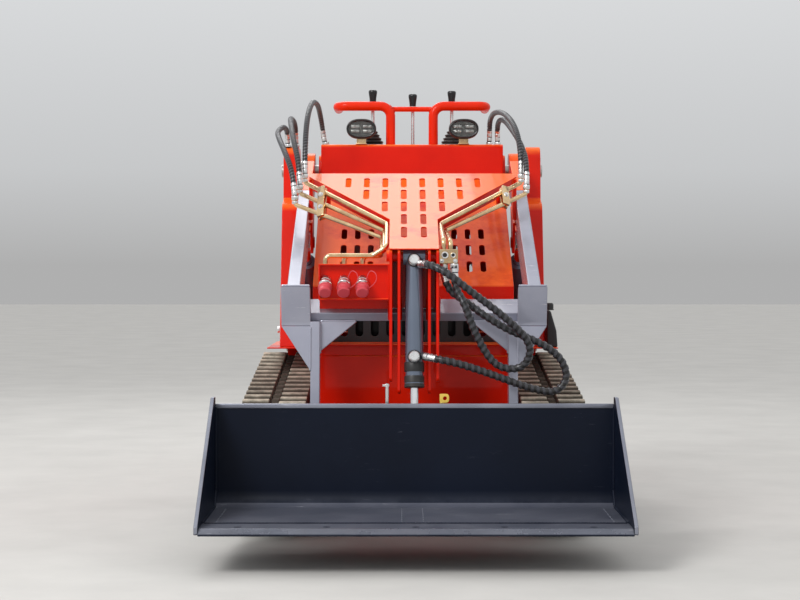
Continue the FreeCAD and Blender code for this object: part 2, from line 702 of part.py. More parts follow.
def arm_panel():
    """The perforated panel that ties the arms above the bonnet, with its folded edges."""
    run = s.panel_length
    half = bracket_half
    wide = arm_inner_x
    widest = run - s.panel_top_edge
    edge = outline([
        (-half, 0), (half, 0), (half, s.panel_stem), (wide, widest), (wide, run), (-wide, run),
        (-wide, widest), (-half, s.panel_stem)])
    slots = []
    for j in range(5):
        v = run - s.panel_first_row - j * s.panel_row_pitch
        room = panel_half(v - s.slot_length / 2) - s.slot_edge - s.slot_width / 2
        for i in range(int(room / s.slot_pitch + 0.5)):
            u = (i + 0.5) * s.slot_pitch
            slots.append(ring_slot(u, v, s.slot_width, s.slot_length))
            slots.append(ring_slot(-u, v, s.slot_width, s.slot_length))
    panel = sloped_plate([edge] + slots, "Sizes.panel_sheet", *panel_front, panel_slope)
    under = along(*panel_front, panel_slope, 0, -s.panel_fold)
    fold_end = widest - 19
    inset = 5
    strip = sloped_plate([outline([
        (half, s.panel_stem), (wide - 12, fold_end), (wide - 12 - inset, fold_end),
        (half - inset, s.panel_stem)])], "Sizes.panel_fold", *under, panel_slope)
    keep("arm_panel", join([panel, strip, mirrored(strip)]))


def panel_cheeks():
    """Side plates that carry the panel's upper corners on the arms."""
    run = s.panel_length
    t = s.panel_cheek
    a = along(*panel_front, panel_slope, run - 45, 0)
    b = along(*panel_front, panel_slope, run, 0)
    c = along(s.arm_bend_y, s.arm_bend_z, rear_slope, 20, 0)
    d = along(s.arm_bend_y, s.arm_bend_z, arm_slope, -60, 0)
    cheek = side_plate([outline([d, c, b, a])], "Sizes.panel_cheek", arm_inner_x - t)
    keep("panel_cheeks", group([cheek, mirrored(cheek)]))


def coupler_box():
    """The box left of the tilt bracket that carries the quick couplers."""
    t = s.sheet
    x = (-bracket_half - s.coupler_box_width, -bracket_half)
    y = (s.tilt_top_y - 10, s.tilt_top_y + 70)
    z = (coupler_box_top - s.coupler_box_height, coupler_box_top)
    recess = 18
    shell = box(x, y, z)
    hollow = box((x[0] + t, x[1] - t), (y[0] - CUT_OVER, y[1] - t), (z[0] + t, z[1] - t))
    face = box((x[0] + t, x[1] - t), (y[0] + recess, y[0] + recess + t), (z[0] + t, z[1] - t))
    beam = along(s.arm_front_y, s.arm_front_z, arm_slope, 0, s.arm_depth / 2 - s.cross_beam_drop)
    foot = [(yy, beam[1] + (yy - beam[0]) * math.tan(arm_slope)) for yy in (y[1] - 3 * t, y[1])]
    profile = outline([foot[0], foot[1], (y[1], z[0]), (y[1] - 3 * t, z[0])])
    shelf = side_plate([profile], "Sizes.coupler_box_width", x[0])
    keep("coupler_box", join([cut(shell, [hollow]), face, shelf]))


def quick_couplers():
    """Three couplers with dust caps, each with a collar, on the coupler box's face."""
    y = s.tilt_top_y + 8
    z = coupler_box_top - 52
    couplers = []
    for x in coupler_places:
        couplers.append(join([
            round_bar((x, y, z), (0, -1, 0), 34, 14),
            round_bar((x, y - 20, z), (0, -1, 0), 9, 18),
            round_bar((x, y - 34, z), (0, -1, 0), 24, 17)]))
    keep("quick_couplers", group(couplers))


def pipe_start(i):
    """Where a plated pipe takes over from its hose, above the side arm."""
    up_slope = s.panel_length - s.pipe_start - s.pipe_step_v * i
    y, z = along(*panel_front, panel_slope, up_slope, -8 - s.pipe_step * i)
    return (arm_inner_x + 8 + s.pipe_diameter * i, y - 8, z + 36)


def hard_pipes():
    """Plated pipes from the hoses over the arms, down beside the panel's edge and its stem."""
    d = s.pipe_diameter
    bend = d + 1
    beside = bracket_half + d / 2 + 1
    stem_top = s.panel_stem - 6
    level = coupler_box_top + 22
    left = []
    for i in range(3):
        x, y, z = pipe_start(i)
        down = -8 - s.pipe_step * i
        lane = -(beside + 7 * i)
        high = along(*panel_front, panel_slope, stem_top, down)
        low = along(*panel_front, panel_slope, 48 + 18 * i, down)
        end_x = coupler_places[2 - i]
        end_y = s.tilt_top_y + 7 + 19 * i
        route = [(-x, y, z), (-x, y, z - bend), (lane, *high), (lane, *low)]
        if i < 2:
            route.append((lane - 38, end_y, level))
        route += [(end_x, end_y, level), (end_x, end_y, coupler_box_top)]
        left.append(solid(bent_pipe(route, d, bend)))
    keep("pipes_left", group(left))
    right = []
    block_top = panel_front[1] + 2
    for i in range(2):
        x, y, z = pipe_start(i)
        high = along(*panel_front, panel_slope, stem_top, -8 - s.pipe_step * i)
        end_x = bracket_half + 12 + 18 * i
        end_y = panel_front[0] + 18
        route = [
            (x, y, z), (x, y, z - bend), (beside + 14 * i, *high), (end_x, end_y, block_top + 25 - 4 * i),
            (end_x, end_y, block_top)]
        right.append(solid(bent_pipe(route, d, bend)))
    keep("pipes_right", group(right))


# Cylinders

def barrel(base, eye, radius, rod_radius, length, width, eye_radius, bore_radius):
    """A cylinder's barrel from its pin to its gland, with a blind bore for the rod."""
    way = Vector(0, eye[0] - base[0], eye[1] - base[1]).normalize()
    y, z = base
    gland_length = 30
    tail = cross_bar((-width / 2, width / 2), y, z, eye_radius)
    start = eye_radius * 0.8
    body = round_bar((0, y + way.y * start, z + way.z * start), way, length - start, radius)
    neck = length - gland_length
    gland = round_bar((0, y + way.y * neck, z + way.z * neck), way, gland_length, radius + 2)
    hole = cross_bar((-width / 2 - CUT_OVER, width / 2 + CUT_OVER), y, z, bore_radius)
    deep = eye_radius + 14
    bore = round_bar((0, y + way.y * deep, z + way.z * deep), way, length - deep + CUT_OVER, rod_radius + 0.5)
    return cut(join([tail, body, gland]), [hole, bore])


def rod(base, eye, radius, width, eye_radius, barrel_length, inside):
    """A rod from inside its barrel to its eye. The eye's pin is left open."""
    back = Vector(0, base[0] - eye[0], base[1] - eye[1])
    reach = back.Length - barrel_length + inside
    y, z = eye
    head = cross_bar((-width / 2, width / 2), y, z, eye_radius)
    shaft = round_bar((0, y, z), back.normalize(), reach, radius)
    hole = cross_bar((-width / 2 - CUT_OVER, width / 2 + CUT_OVER), y, z, eye_radius * 0.5)
    return cut(join([head, shaft]), [hole])


def moved_x(thing, x):
    thing.Placement = Placement(Vector(x, 0, 0), Rotation())
    return thing


def tilt_cylinder():
    base = (s.tilt_top_y, s.tilt_top_z)
    eye = (s.tilt_eye_y, s.tilt_eye_z)
    keep("tilt_barrel", barrel(base, eye, s.tilt_barrel_diameter / 2, s.tilt_rod_diameter / 2,
                               s.tilt_barrel_length, 60, 25, s.pin_diameter / 2 + s.pin_clearance))
    keep("tilt_rod", rod(base, eye, s.tilt_rod_diameter / 2, 2 * s.tilt_lug_x - 6, s.tilt_eye_radius,
                         s.tilt_barrel_length, 0.74 * s.tilt_barrel_length))


def lift_cylinders():
    base = (s.lift_base_y, s.lift_base_z)
    eye = (s.lift_eye_y, s.lift_eye_z)
    tube_part = barrel(base, eye, s.lift_barrel_diameter / 2, s.lift_rod_diameter / 2,
                       s.lift_barrel_length, 44, 30, s.pin_diameter / 2 + s.pin_clearance)
    shaft = rod(base, eye, s.lift_rod_diameter / 2, s.arm_width - 4, s.lift_eye_radius,
                s.lift_barrel_length, 0.8 * s.lift_barrel_length)
    both("lift_barrel", moved_x(tube_part, s.arm_centre_x))
    both("lift_rod", moved_x(shaft, s.arm_centre_x))


# Chassis

def chassis_frame():
    """The chassis tub, with a cover plate on its front under an overhanging shelf."""
    t = s.frame_plate
    half = s.body_half_width
    z0, z1 = s.frame_bottom_z, s.frame_top_z
    front = s.frame_front_y
    outer = box((-half, half), (front, s.frame_rear_y), (z0, z1))
    inner = box((-half + t, half - t), (front + t, s.frame_rear_y - t), (z0 + t, z1 + CUT_OVER))
    shelf = box((-half, half), (front - s.front_shelf, s.nose_y), (z1 - 5, z1))
    cover = box((-half, half), (front - s.front_cover, front), (z0 + 30, z1 - 33))
    keep("chassis_frame", join([cut(outer, [inner]), shelf, cover]))


def body_sides():
    """The bonnet's side sheets, with two rows of cooling slots."""
    t = s.sheet
    profile = outline([
        (s.nose_y, s.frame_top_z), (s.frame_rear_y - 8, s.frame_top_z), (console_rear_y, console_low_z),
        (s.bonnet_end_y, console_low_z), (s.bonnet_end_y, s.bonnet_end_z), (s.nose_y, s.nose_top_z)])
    pitch = s.vent_pitch
    high_row = (s.frame_top_z + s.bonnet_end_z) / 2 + 31
    low_row = (s.frame_top_z + s.nose_top_z) / 2 + 42
    vents = []
    for first, count, z, length in ((7, 7, low_row, 120), (10, 5, high_row, 90)):
        for i in range(count):
            vents.append(ring_slot(s.nose_y + (first + i) * pitch - 18, z, s.slot_width, length))
    side = side_plate([profile] + vents, "Sizes.sheet", s.body_half_width - t)
    keep("body_sides", group([side, mirrored(side)]))


def bonnet():
    """The sloping sheet with its slots either side, and its folded front face."""
    t = s.sheet
    run = math.hypot(s.bonnet_end_y - s.nose_y, s.bonnet_end_z - s.nose_top_z)
    half = s.body_half_width
    slots = []
    for j in range(3):
        v = s.bonnet_first_row + j * s.bonnet_row_pitch
        for i in range(3):
            u = s.bonnet_first_column + i * s.bonnet_column_pitch
            slots.append(ring_slot(u, v, s.slot_width, s.bonnet_slot_length))
            slots.append(ring_slot(-u, v, s.slot_width, s.bonnet_slot_length))
    edge = outline([(-half, 0), (half, 0), (half, run), (-half, run)])
    top = sloped_plate([edge] + slots, "Sizes.sheet", s.nose_y, s.nose_top_z, bonnet_slope)
    face = box((-half, half), (s.nose_y - t, s.nose_y), (s.nose_bottom_z, s.nose_top_z + t / 2))
    keep("bonnet", join([top, face]))


def nose_grille():
    """The black mesh panel under the bonnet's front face, behind the cross beam."""
    half = s.body_half_width - s.sheet
    low, top = s.frame_top_z, s.nose_top_z - 6
    rim = outline([(-half, low), (half, low), (half, top), (-half, top)])
    middle = (s.frame_top_z + s.nose_bottom_z) / 2
    gaps = [ring_slot((i - 5.5) * s.vent_pitch, middle, s.vent_pitch / 2, 90) for i in range(12)]
    keep("nose_grille", front_plate([rim] + gaps, 6, s.nose_y))


def rear_panel():
    """The closing panel behind the engine, with its cooling slots."""
    half = s.body_half_width - s.sheet
    y_low = s.frame_rear_y - 8
    z_low = s.frame_top_z + 0.6
    run = math.hypot(console_rear_y - y_low, console_low_z - z_low)
    lean = math.atan2(y_low - console_rear_y, console_low_z - z_low)
    slots = []
    for j in range(3):
        v = 90 + j * 100
        for i in range(5):
            u = (i + 0.5) * s.vent_pitch
            slots.append(ring_slot(u, v, s.slot_width, 70))
            slots.append(ring_slot(-u, v, s.slot_width, 70))
    edge = outline([(-half, 0), (half, 0), (half, run), (-half, run)])
    panel = flat_plate([edge] + slots, "Sizes.sheet", -s.sheet)
    panel.Placement = Placement(Vector(0, y_low, z_low), Rotation(Vector(1, 0, 0), 90 + math.degrees(lean)))
    keep("rear_panel", panel)


def console():
    """The console behind the bonnet, with the plates that hold the arm pivots' inner ends."""
    half = s.body_half_width
    y = (s.bonnet_end_y, console_rear_y)
    z = (console_low_z, s.console_top_z)
    fold = 12
    shell = side_plate([outline([(y[0], z[0]), (y[1], z[0]), (y[1], z[1], fold), (y[0], z[1], fold)])],
                       "2 * Sizes.body_half_width", -half)
    y_a, z_a = s.arm_pivot_y, s.arm_pivot_z
    plate = side_plate([
        outline([(y_a - 60, z[0] + 4), (y_a + 60, z[0] + 4), (y_a + 30, z_a + 50, 30),
                 (y_a - 30, z_a + 50, 30)]),
        circle(y_a, z_a, s.arm_pin_diameter / 2)], "Sizes.frame_plate", half)
    keep("console", join([shell, plate, mirrored(plate)]))


def towers():
    """The boxes either side that carry the arm's pivots and the lift cylinders."""
    y_a, z_a = s.arm_pivot_y, s.arm_pivot_z
    y_b, z_b = s.lift_base_y, s.lift_base_z
    base = s.fender_z + s.sheet
    profile = outline([
        (y_a - 250, base), (y_b - 50, base), (y_b - 38, z_b - 30, 10), (y_b, z_b - 38, 30),
        (y_b + 40, z_b, 30), (y_a + 110, s.tower_top_z, 40), (y_a - 46, s.tower_top_z, 40),
        (y_a - 60, z_a - 90, 10), (y_a - 130, z_a - 110, 40)])
    tower = side_plate([profile], "Sizes.tower_width", s.tower_inner_x)
    x = (s.tower_inner_x - CUT_OVER, tower_outer_x + CUT_OVER)
    bores = [
        cross_bar(x, y_a, z_a, "Sizes.arm_pin_diameter / 2"),
        cross_bar(x, y_b, z_b, "Sizes.pin_diameter / 2")]
    both("tower", cut(tower, bores))


def pivot_pins():
    """The arm's pivots and the lift cylinders' base pins, fast in the towers."""
    half = s.body_half_width
    y, z = s.arm_pivot_y, s.arm_pivot_z
    main = cross_bar((half, tower_outer_x + 8), y, z, "Sizes.arm_pin_diameter / 2")
    washer = cross_bar((arm_outer_x + 3, s.tower_inner_x), y, z, s.arm_pin_diameter / 2 + 12)
    base = cross_bar((half, tower_outer_x + 6), s.lift_base_y, s.lift_base_z, "Sizes.pin_diameter / 2")
    pins = [join([main, washer]), base]
    keep("pivot_pins", group(pins + [mirrored(p) for p in pins]))


def fenders():
    """The plates over the tracks, beside the body and behind the towers."""
    y_a = s.arm_pivot_y
    z = (s.fender_z, s.fender_z + s.sheet)
    step = y_a + 40
    wide = box((s.body_half_width, s.fender_outer_x), (y_a - s.fender_reach, step), z)
    narrow = box((s.tower_inner_x, s.fender_outer_x), (step, s.lift_base_y - 50), z)
    plate = join([wide, narrow])
    keep("fenders", group([plate, mirrored(plate)]))


def fuel_tank():
    """The black tank on the plate over one track, outside the tower."""
    x0, x1 = tower_outer_x, s.fender_outer_x
    z = s.fender_z + s.sheet
    top = z + s.fuel_tank_height
    profile = outline([(x0, z), (x1, z), (x1 - 4, z + 50), (x0 + 12, top), (x0, top)])
    front = s.arm_pivot_y - s.fender_reach + 10
    keep("fuel_tank", front_plate([profile], "Sizes.fuel_tank_length", front))


def engine_block():
    half = s.engine_width / 2
    front = s.arm_pivot_y + 20 - s.engine_length
    z = s.frame_bottom_z + s.frame_plate
    keep("engine_block", box((-half, half), (front, front + s.engine_length), (z, z + s.engine_height)))


def handlebars():
    """Two bars that rise from the console, turn outwards and run back as grips, with a link between."""
    y = s.bonnet_end_y + 74
    z = s.handle_z
    x = s.handle_inner_x
    bars = []
    for side in (-1, 1):
        shape = bent_pipe([
            (side * x, y, s.console_top_z), (side * x, y, z), (side * s.handle_outer_x, y, z),
            (side * s.handle_outer_x, y + s.handle_grip, z)], s.handle_tube, 34)
        bars.append(solid(shape))
    link = cross_bar((-x - 14, x + 14), y + 8, z - 9, 8)
    keep("handlebars", join(bars + [link]))


def control_levers():
    """Three levers: a thin shaft and a knob that swells towards its top."""
    top = s.console_top_z
    levers = []
    for x, tall in LEVERS:
        cone = fresh("Part::Cone", "knob")
        cone.Radius1 = 10
        cone.Radius2 = 14
        cone.Height = s.knob_height
        cone.Placement = Placement(Vector(x, lever_y, top + tall - s.knob_height), Rotation())
        stem = round_bar((x, lever_y, top), (0, 0, 1), tall - s.knob_height + 2, "Sizes.lever_diameter / 2")
        levers.append(join([stem, cone]))
    keep("control_levers", group(levers))


def lever_boots():
    """The ribbed boots round the two outer levers."""
    boots = []
    for x, tall in (LEVERS[0], LEVERS[2]):
        rings = []
        for i in range(4):
            rib = fresh("Part::Cone", "rib")
            rib.Radius1 = 40 - 6 * i
            rib.Radius2 = 33 - 6 * i
            rib.Height = 13
            rib.Placement = Placement(Vector(x, lever_y, s.console_top_z + 13 * i), Rotation())
            rings.append(rib)
        hole = round_bar((x, lever_y, s.console_top_z - CUT_OVER), (0, 0, 1), 70, s.lever_diameter / 2 + 0.3)
        boots.append(cut(join(rings), [hole]))
    keep("lever_boots", group(boots))


def work_lights():
    """Two oval lamps in front of the console's top edge, each on its foot."""
    y = s.bonnet_end_y - 10
    z = (s.console_top_z + 17, s.console_top_z + 80)
    half = s.lamp_width / 2
    lights = []
    for x in (-160, 163):
        lamp = front_plate([outline([
            (x - half, z[0], 31), (x + half, z[0], 31), (x + half, z[1], 31), (x - half, z[1], 31)])],
            "Sizes.lamp_depth", y)
        foot = box((x - 16, x + 16), (y + 12, y + 34), (s.console_top_z, z[0] + 5))
        lights.append(join([lamp, foot]))
    keep("work_lights", group(lights))


# Tracks

def hull(circles):
    """A closed line round three wheels in the side view, anticlockwise."""
    edges = []
    count = len(circles)
    joints = []
    for i in range(count):
        ya, za, ra = circles[i]
        yb, zb, rb = circles[(i + 1) % count]
        heading = math.atan2(zb - za, yb - ya)
        gap = math.hypot(yb - ya, zb - za)
        normal = heading - math.acos((ra - rb) / gap)
        joints.append((
            Vector(0, ya + ra * math.cos(normal), za + ra * math.sin(normal)),
            Vector(0, yb + rb * math.cos(normal), zb + rb * math.sin(normal)),
            normal))
    for i in range(count):
        leave, arrive, normal = joints[i]
        following = joints[(i + 1) % count]
        edges.append(Part.LineSegment(leave, arrive).toShape())
        y, z, r = circles[(i + 1) % count]
        turn = (following[2] - normal) % (2 * math.pi)
        middle = normal + turn / 2
        over = Vector(0, y + r * math.cos(middle), z + r * math.sin(middle))
        edges.append(Part.Arc(arrive, over, following[0]).toShape())
    return Part.Wire(edges)


def track_circles(inset):
    return [
        (s.front_wheel_y, s.front_track_radius, s.front_track_radius - inset),
        (s.rear_wheel_y, s.rear_track_radius, s.rear_track_radius - inset),
        (s.drive_y, s.drive_z, s.drive_track_radius - inset),
    ]


def track_shape():
    """One rubber track: a belt with lugs all the way round, in the machine's own place."""
    outer = hull(track_circles(s.lug_height))
    inner = hull(track_circles(s.lug_height + s.belt_thickness))
    across = Vector(s.track_width, 0, 0)
    belt = Part.Face(outer).extrude(across).cut(Part.Face(inner).extrude(across))
    belt.translate(Vector(s.track_inner_x, 0, 0))
    # columns of lugs: start and width as shares of the track's width, shift in pitches, height
    columns = [(0.0, 0.42, 0.0, 1.0), (0.44, 0.12, 0.5, 0.6), (0.58, 0.42, 0.5, 1.0)]
    count = int(s.lug_count)
    pitch = outer.Length / count
    spots = outer.discretize(Number=count * 2 + 1)
    lugs = []
    for start, wide, shift, tall in columns:
        for i in range(count):
            at = spots[(2 * i + int(shift * 2)) % (count * 2)]
            edge = min(outer.Edges, key=lambda e: e.distToShape(Part.Vertex(at))[0])
            u = edge.Curve.parameter(at)
            along_belt = edge.tangentAt(u)
            out = Vector(0, along_belt.z, -along_belt.y)
            if (at + out * 5 - outer.CenterOfMass).Length < (at - out * 5 - outer.CenterOfMass).Length:
                out = out * -1
            curved = edge.Curve.TypeId == "Part::GeomCircle"
            height = s.lug_height * tall - (0.6 if curved else 0)
            base = s.lug_base / 2
            tip = s.lug_tip / 2
            ring = [at - along_belt * base - out * 4, at + along_belt * base - out * 4,
                    at + along_belt * tip + out * height, at - along_belt * tip + out * height]
            face = Part.Face(Part.makePolygon(ring + [ring[0]]))
            lug = face.extrude(Vector(s.track_width * wide, 0, 0))
            lug.translate(Vector(s.track_inner_x + s.track_width * start, 0, 0))
            lugs.append(lug)
    print(f"track pitch {pitch:.1f} mm")
    return belt.fuse(lugs).removeSplitter()


def hoses():
    """The hydraulic hoses: two from the tilt cylinder's ports, five from the tower over the arms."""
    d = s.hose_diameter
    hose("tilt_hose_upper", TILT_HOSE_UPPER, d)
    hose("tilt_hose_lower", TILT_HOSE_LOWER, d)
    arm_hoses = [ARM_HOSE_LEFT_1, ARM_HOSE_LEFT_2, ARM_HOSE_LEFT_3, ARM_HOSE_RIGHT_1, ARM_HOSE_RIGHT_2]
    for label, route in zip(("left_1", "left_2", "left_3", "right_1", "right_2"), arm_hoses):
        hose("arm_hose_" + label, route, s.arm_hose_diameter)


def tracks():
    both("track", solid(track_shape()))


def wheel(y, z, radius, x0, x1, hub):
    """A wheel with a recessed rim on one side and its axle's hub."""
    disc = cross_bar((x0, x1), y, z, radius)
    hollow = cross_bar((x1 - 18, x1 + CUT_OVER), y, z, radius * 0.78)
    core = cross_bar((x0 - s.wheel_side_gap, x1 + s.wheel_side_gap), y, z, hub)
    return join([cut(disc, [hollow]), core])


def track_wheels():
    """The front and rear idlers and the bottom rollers, all on the track frame."""
    x = wheel_x
    wheels = [
        wheel(s.front_wheel_y, s.front_track_radius, s.front_track_radius - belt_line, *x, 40),
        wheel(s.rear_wheel_y, s.rear_track_radius, s.rear_track_radius - belt_line, *x, 26),
    ]
    r = s.roller_diameter / 2
    for i in range(4):
        wheels.append(wheel(first_roller_y + i * s.roller_pitch, belt_line + r, r, *x, 18))
    keep("track_wheels", group(wheels + [mirrored(w) for w in wheels]))


def drives():
    """The drive sprockets with their motors, bolted to the chassis."""
    x0 = s.track_inner_x + 62
    x1 = s.track_inner_x + s.track_width - 62
    y, z = s.drive_y, s.drive_z
    radius = s.drive_track_radius - belt_line
    disc = cross_bar((x0, x1), y, z, radius)
    windows = []
    for i in range(6):
        turn = math.radians(30 + 60 * i)
        reach = radius * 0.69
        windows.append(cross_bar((x0 - CUT_OVER, x1 + CUT_OVER), y + reach * math.cos(turn),
                                 z + reach * math.sin(turn), 19))
    motor = cross_bar((s.body_half_width, x0), y, z, 62)
    cap = cross_bar((x1, x1 + 30), y, z, 48)
    drive = join([cut(disc, windows), motor, cap])
    keep("drives", group([drive, mirrored(drive)]))


def track_frames():
    """The beam inside each track, the side plates that hold its wheels and the cross tubes."""
    r = s.roller_diameter / 2
    roller_z = belt_line + r
    low = roller_z + r + 10
    y = (first_roller_y - 40, s.rear_wheel_y - 100)
    x0 = wheel_x[0] - s.wheel_side_gap
    x1 = wheel_x[1] + s.wheel_side_gap
    plate = s.frame_plate
    y_f, z_f = s.front_wheel_y - 26, s.front_track_radius
    y_r, z_r = s.rear_wheel_y + 26, s.rear_track_radius
    side = outline([
        (y_f, z_f - 26, 20), (y[0], roller_z - 16), (y[1], roller_z - 16), (y_r, z_r - 22, 20),
        (y_r, z_r + 26, 20), (y[1], low + 40), (y[0], low + 40), (y_f, z_f + 26, 20)])
    parts = [
        side_plate([side], "Sizes.frame_plate", x0 - plate),
        side_plate([side], "Sizes.frame_plate", x1),
        box((x0, x1), y, (low, low + 70)),
    ]
    for middle in (first_roller_y, s.rear_wheel_y - 140):
        parts.append(box((s.body_half_width, x0 - plate), (middle - 20, middle + 20), (low, low + 30)))
    frame = join(parts)
    keep("track_frames", group([frame, mirrored(frame)]))


# Operator's end

def tow_plate():
    """The drilled tongue on the chassis's rear plate."""
    z = s.frame_bottom_z + 40
    depth = 62
    shape = outline([(-50, 0), (50, 0), (35, depth, 20), (-35, depth, 20)])
    tongue = flat_plate([shape, circle(0, depth - s.tow_hole, s.tow_hole / 2)], "Sizes.tow_plate", 0)
    tongue.Placement = Placement(Vector(0, s.frame_rear_y, z), Rotation())
    keep("tow_plate", tongue)


def platform_hinges():
    """The drilled lugs on the chassis that the platform's pins turn in."""
    y = s.frame_rear_y
    z = platform_middle_z
    lug = side_plate([
        outline([(y, z - 26), (y + 40, z - 26, 20), (y + 40, z + 26, 20), (y, z + 26)]),
        circle(y + s.platform_hinge, z, s.platform_pin / 2 + s.pin_clearance)], 10, s.platform_width / 2 + 2)
    keep("platform_hinges", group([lug, mirrored(lug)]))


def platform():
    """The folding platform that the operator stands on, with its hinge pins."""
    hinge_y = s.frame_rear_y + s.platform_hinge
    deck_y = s.frame_rear_y + 80
    half = s.platform_width / 2
    z = (s.platform_z - s.platform_thickness, s.platform_z)
    deck = box((-half, half), (deck_y, s.overall_length / 2), z)
    arm = box((half - 30, half), (hinge_y, deck_y), z)
    boss = cross_bar((half - 30, half), hinge_y, platform_middle_z, s.platform_thickness / 2)
    pin = cross_bar((half, half + 16), hinge_y, platform_middle_z, "Sizes.platform_pin / 2")
    side = join([arm, boss, pin])
    keep("platform", join([deck, side, mirrored(side)]))


# Hose routes, chosen by hand: X, Y, Z

TILT_HOSE_UPPER = [
    (10, -484, 742), (24, -547, 736), (85, -566, 716), (158, -567, 662), (244, -560, 598),
    (314, -545, 528), (290, -525, 462), (214, -522, 466), (160, -530, 556), (134, -528, 636),
    (106, -490, 684), (106, -486, 742),
]
TILT_HOSE_LOWER = [
    (18.9, -518.3, 498), (54, -553, 493), (130, -552, 476), (215, -540, 446), (300, -520, 414),
    (374, -507, 396), (410, -503, 436), (392, -507, 492), (338, -510, 532), (258, -512, 562),
    (190, -502, 602), (140, -470, 640), (79, -474, 680), (79, -478, 742),
]
ARM_HOSE_LEFT_1 = [
    (-315, -16, 994), (-315, -16, 1070), (-314, 70, 1170), (-306, 220, 1236), (-288, 360, 1240),
    (-276, 448, 1216), (-274, 480, 1170), (-274, 480, 1120.6),
]
ARM_HOSE_LEFT_2 = [
    (-328, -46, 961), (-330, -46, 1030), (-350, 40, 1100), (-368, 190, 1168), (-378, 340, 1196),
    (-370, 438, 1190), (-368, 476, 1155), (-368, 478, 1114.6),
]
ARM_HOSE_LEFT_3 = [
    (-341, -76, 928), (-345, -76, 1000), (-375, 10, 1070), (-404, 150, 1125), (-414, 290, 1150),
    (-404, 394, 1172), (-396, 448, 1168), (-394, 478, 1146), (-394, 480, 1114.6),
]
ARM_HOSE_RIGHT_1 = [
    (315, -16, 994), (315, -16, 1070), (304, 74, 1150), (280, 210, 1200), (256, 350, 1215),
    (246, 446, 1200), (246, 478, 1163), (246, 480, 1120.6),
]
ARM_HOSE_RIGHT_2 = [
    (328, -46, 961), (334, -46, 1030), (340, 40, 1094), (326, 180, 1154), (298, 320, 1188),
    (276, 428, 1188), (272, 480, 1162), (272, 480, 1120.6),
]

# Parts are made in order, one call each

bucket_shell()
bucket_sides()
cutting_edge()
mount_plate()
lock_handles()
side_arm()
rear_link()
lift_lugs()
cross_beam()
leg()
bucket_pins()
tilt_bracket()
arm_panel()
panel_cheeks()
coupler_box()
quick_couplers()
hard_pipes()
tilt_cylinder()
lift_cylinders()
chassis_frame()
body_sides()
bonnet()
nose_grille()
rear_panel()
console()
towers()
pivot_pins()
fenders()
fuel_tank()
engine_block()
handlebars()
control_levers()
lever_boots()
work_lights()
hoses()
tracks()
track_wheels()
drives()
track_frames()
tow_plate()
platform_hinges()
platform()

doc.recompute()
bad = [o.Name for o in doc.Objects if "Invalid" in o.State or "Error" in o.State]
if bad:
    raise RuntimeError(f"these objects failed: {bad}")
for label, thing in nodes.items():
    if thing.Shape.isNull() or not thing.Shape.isValid() or not thing.Shape.Solids:
        bad.append(label)
if bad:
    raise RuntimeError(f"these pieces have no valid shape: {bad}")

os.makedirs("parts", exist_ok=True)
for label, thing in nodes.items():
    thing.Shape.exportStep(f"parts/{label}.step")
print(f"{len(nodes)} pieces written")
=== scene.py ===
import bpy
import json
import math
import random
from mathutils import Matrix, Vector


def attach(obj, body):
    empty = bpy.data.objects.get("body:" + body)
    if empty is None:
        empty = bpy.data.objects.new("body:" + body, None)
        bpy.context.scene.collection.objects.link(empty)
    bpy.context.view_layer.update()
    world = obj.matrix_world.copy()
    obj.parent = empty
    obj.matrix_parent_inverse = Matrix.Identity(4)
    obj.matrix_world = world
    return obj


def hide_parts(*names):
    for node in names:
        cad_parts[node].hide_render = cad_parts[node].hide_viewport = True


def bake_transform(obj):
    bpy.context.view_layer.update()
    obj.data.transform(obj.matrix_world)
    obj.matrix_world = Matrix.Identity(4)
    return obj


# A small tracked loader that is driven from a platform at its back, bucket on the ground.
# Metres. Y runs from the bucket back to the platform and Z is up from the ground.

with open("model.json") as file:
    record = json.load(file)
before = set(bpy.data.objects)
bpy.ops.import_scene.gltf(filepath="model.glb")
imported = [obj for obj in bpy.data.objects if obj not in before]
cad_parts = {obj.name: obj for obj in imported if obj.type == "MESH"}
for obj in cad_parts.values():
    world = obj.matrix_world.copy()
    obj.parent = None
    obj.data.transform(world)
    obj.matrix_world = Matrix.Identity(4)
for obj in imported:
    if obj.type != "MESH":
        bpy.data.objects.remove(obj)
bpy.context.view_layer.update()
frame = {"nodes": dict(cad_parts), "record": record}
nodes = frame["nodes"]
bodyOf = {name: body for body, names in frame["record"]["behaviour"]["bodies"].items() for name in names}
slotOf = {name: node.data.materials[0].name for name, node in nodes.items()}
random.seed(11)
bpy.ops.object.select_all(action="DESELECT")


def newObject(name, data):
    fresh = bpy.data.objects.new(name, data)
    bpy.context.scene.collection.objects.link(fresh)
    return fresh


# Camera, floor and light

shot = {"place": (-0.038, -5.526, 0.739), "pitchDown": 1.06, "lens": 85.0, "sensorWidth": 36.0}
cameraData = bpy.data.cameras.new("shotCamera")
cameraData.lens = shot["lens"]
cameraData.sensor_width = shot["sensorWidth"]
camera = newObject("shotCamera", cameraData)
camera.location = shot["place"]
camera.rotation_euler = (math.radians(90 - shot["pitchDown"]), 0, 0)
bpy.context.scene.camera = camera
bpy.context.scene.view_settings.view_transform = "Standard"


def addNode(tree, kind, inputs=None, **settings):
    made = tree.nodes.new(kind)
    for key, value in settings.items():
        setattr(made, key, value)
    for key, value in (inputs or {}).items():
        if isinstance(value, bpy.types.NodeSocket):
            tree.links.new(value, made.inputs[key])
        else:
            made.inputs[key].default_value = value
    return made


def addRamp(tree, factor, stops):
    ramp = addNode(tree, "ShaderNodeValToRGB", {"Fac": factor})
    bar = ramp.color_ramp.elements
    while len(bar) < len(stops):
        bar.new(0.5)
    for stop, (place, colour) in zip(bar, stops):
        stop.position = place
        stop.color = (*colour, 1)
    return ramp.outputs["Color"]


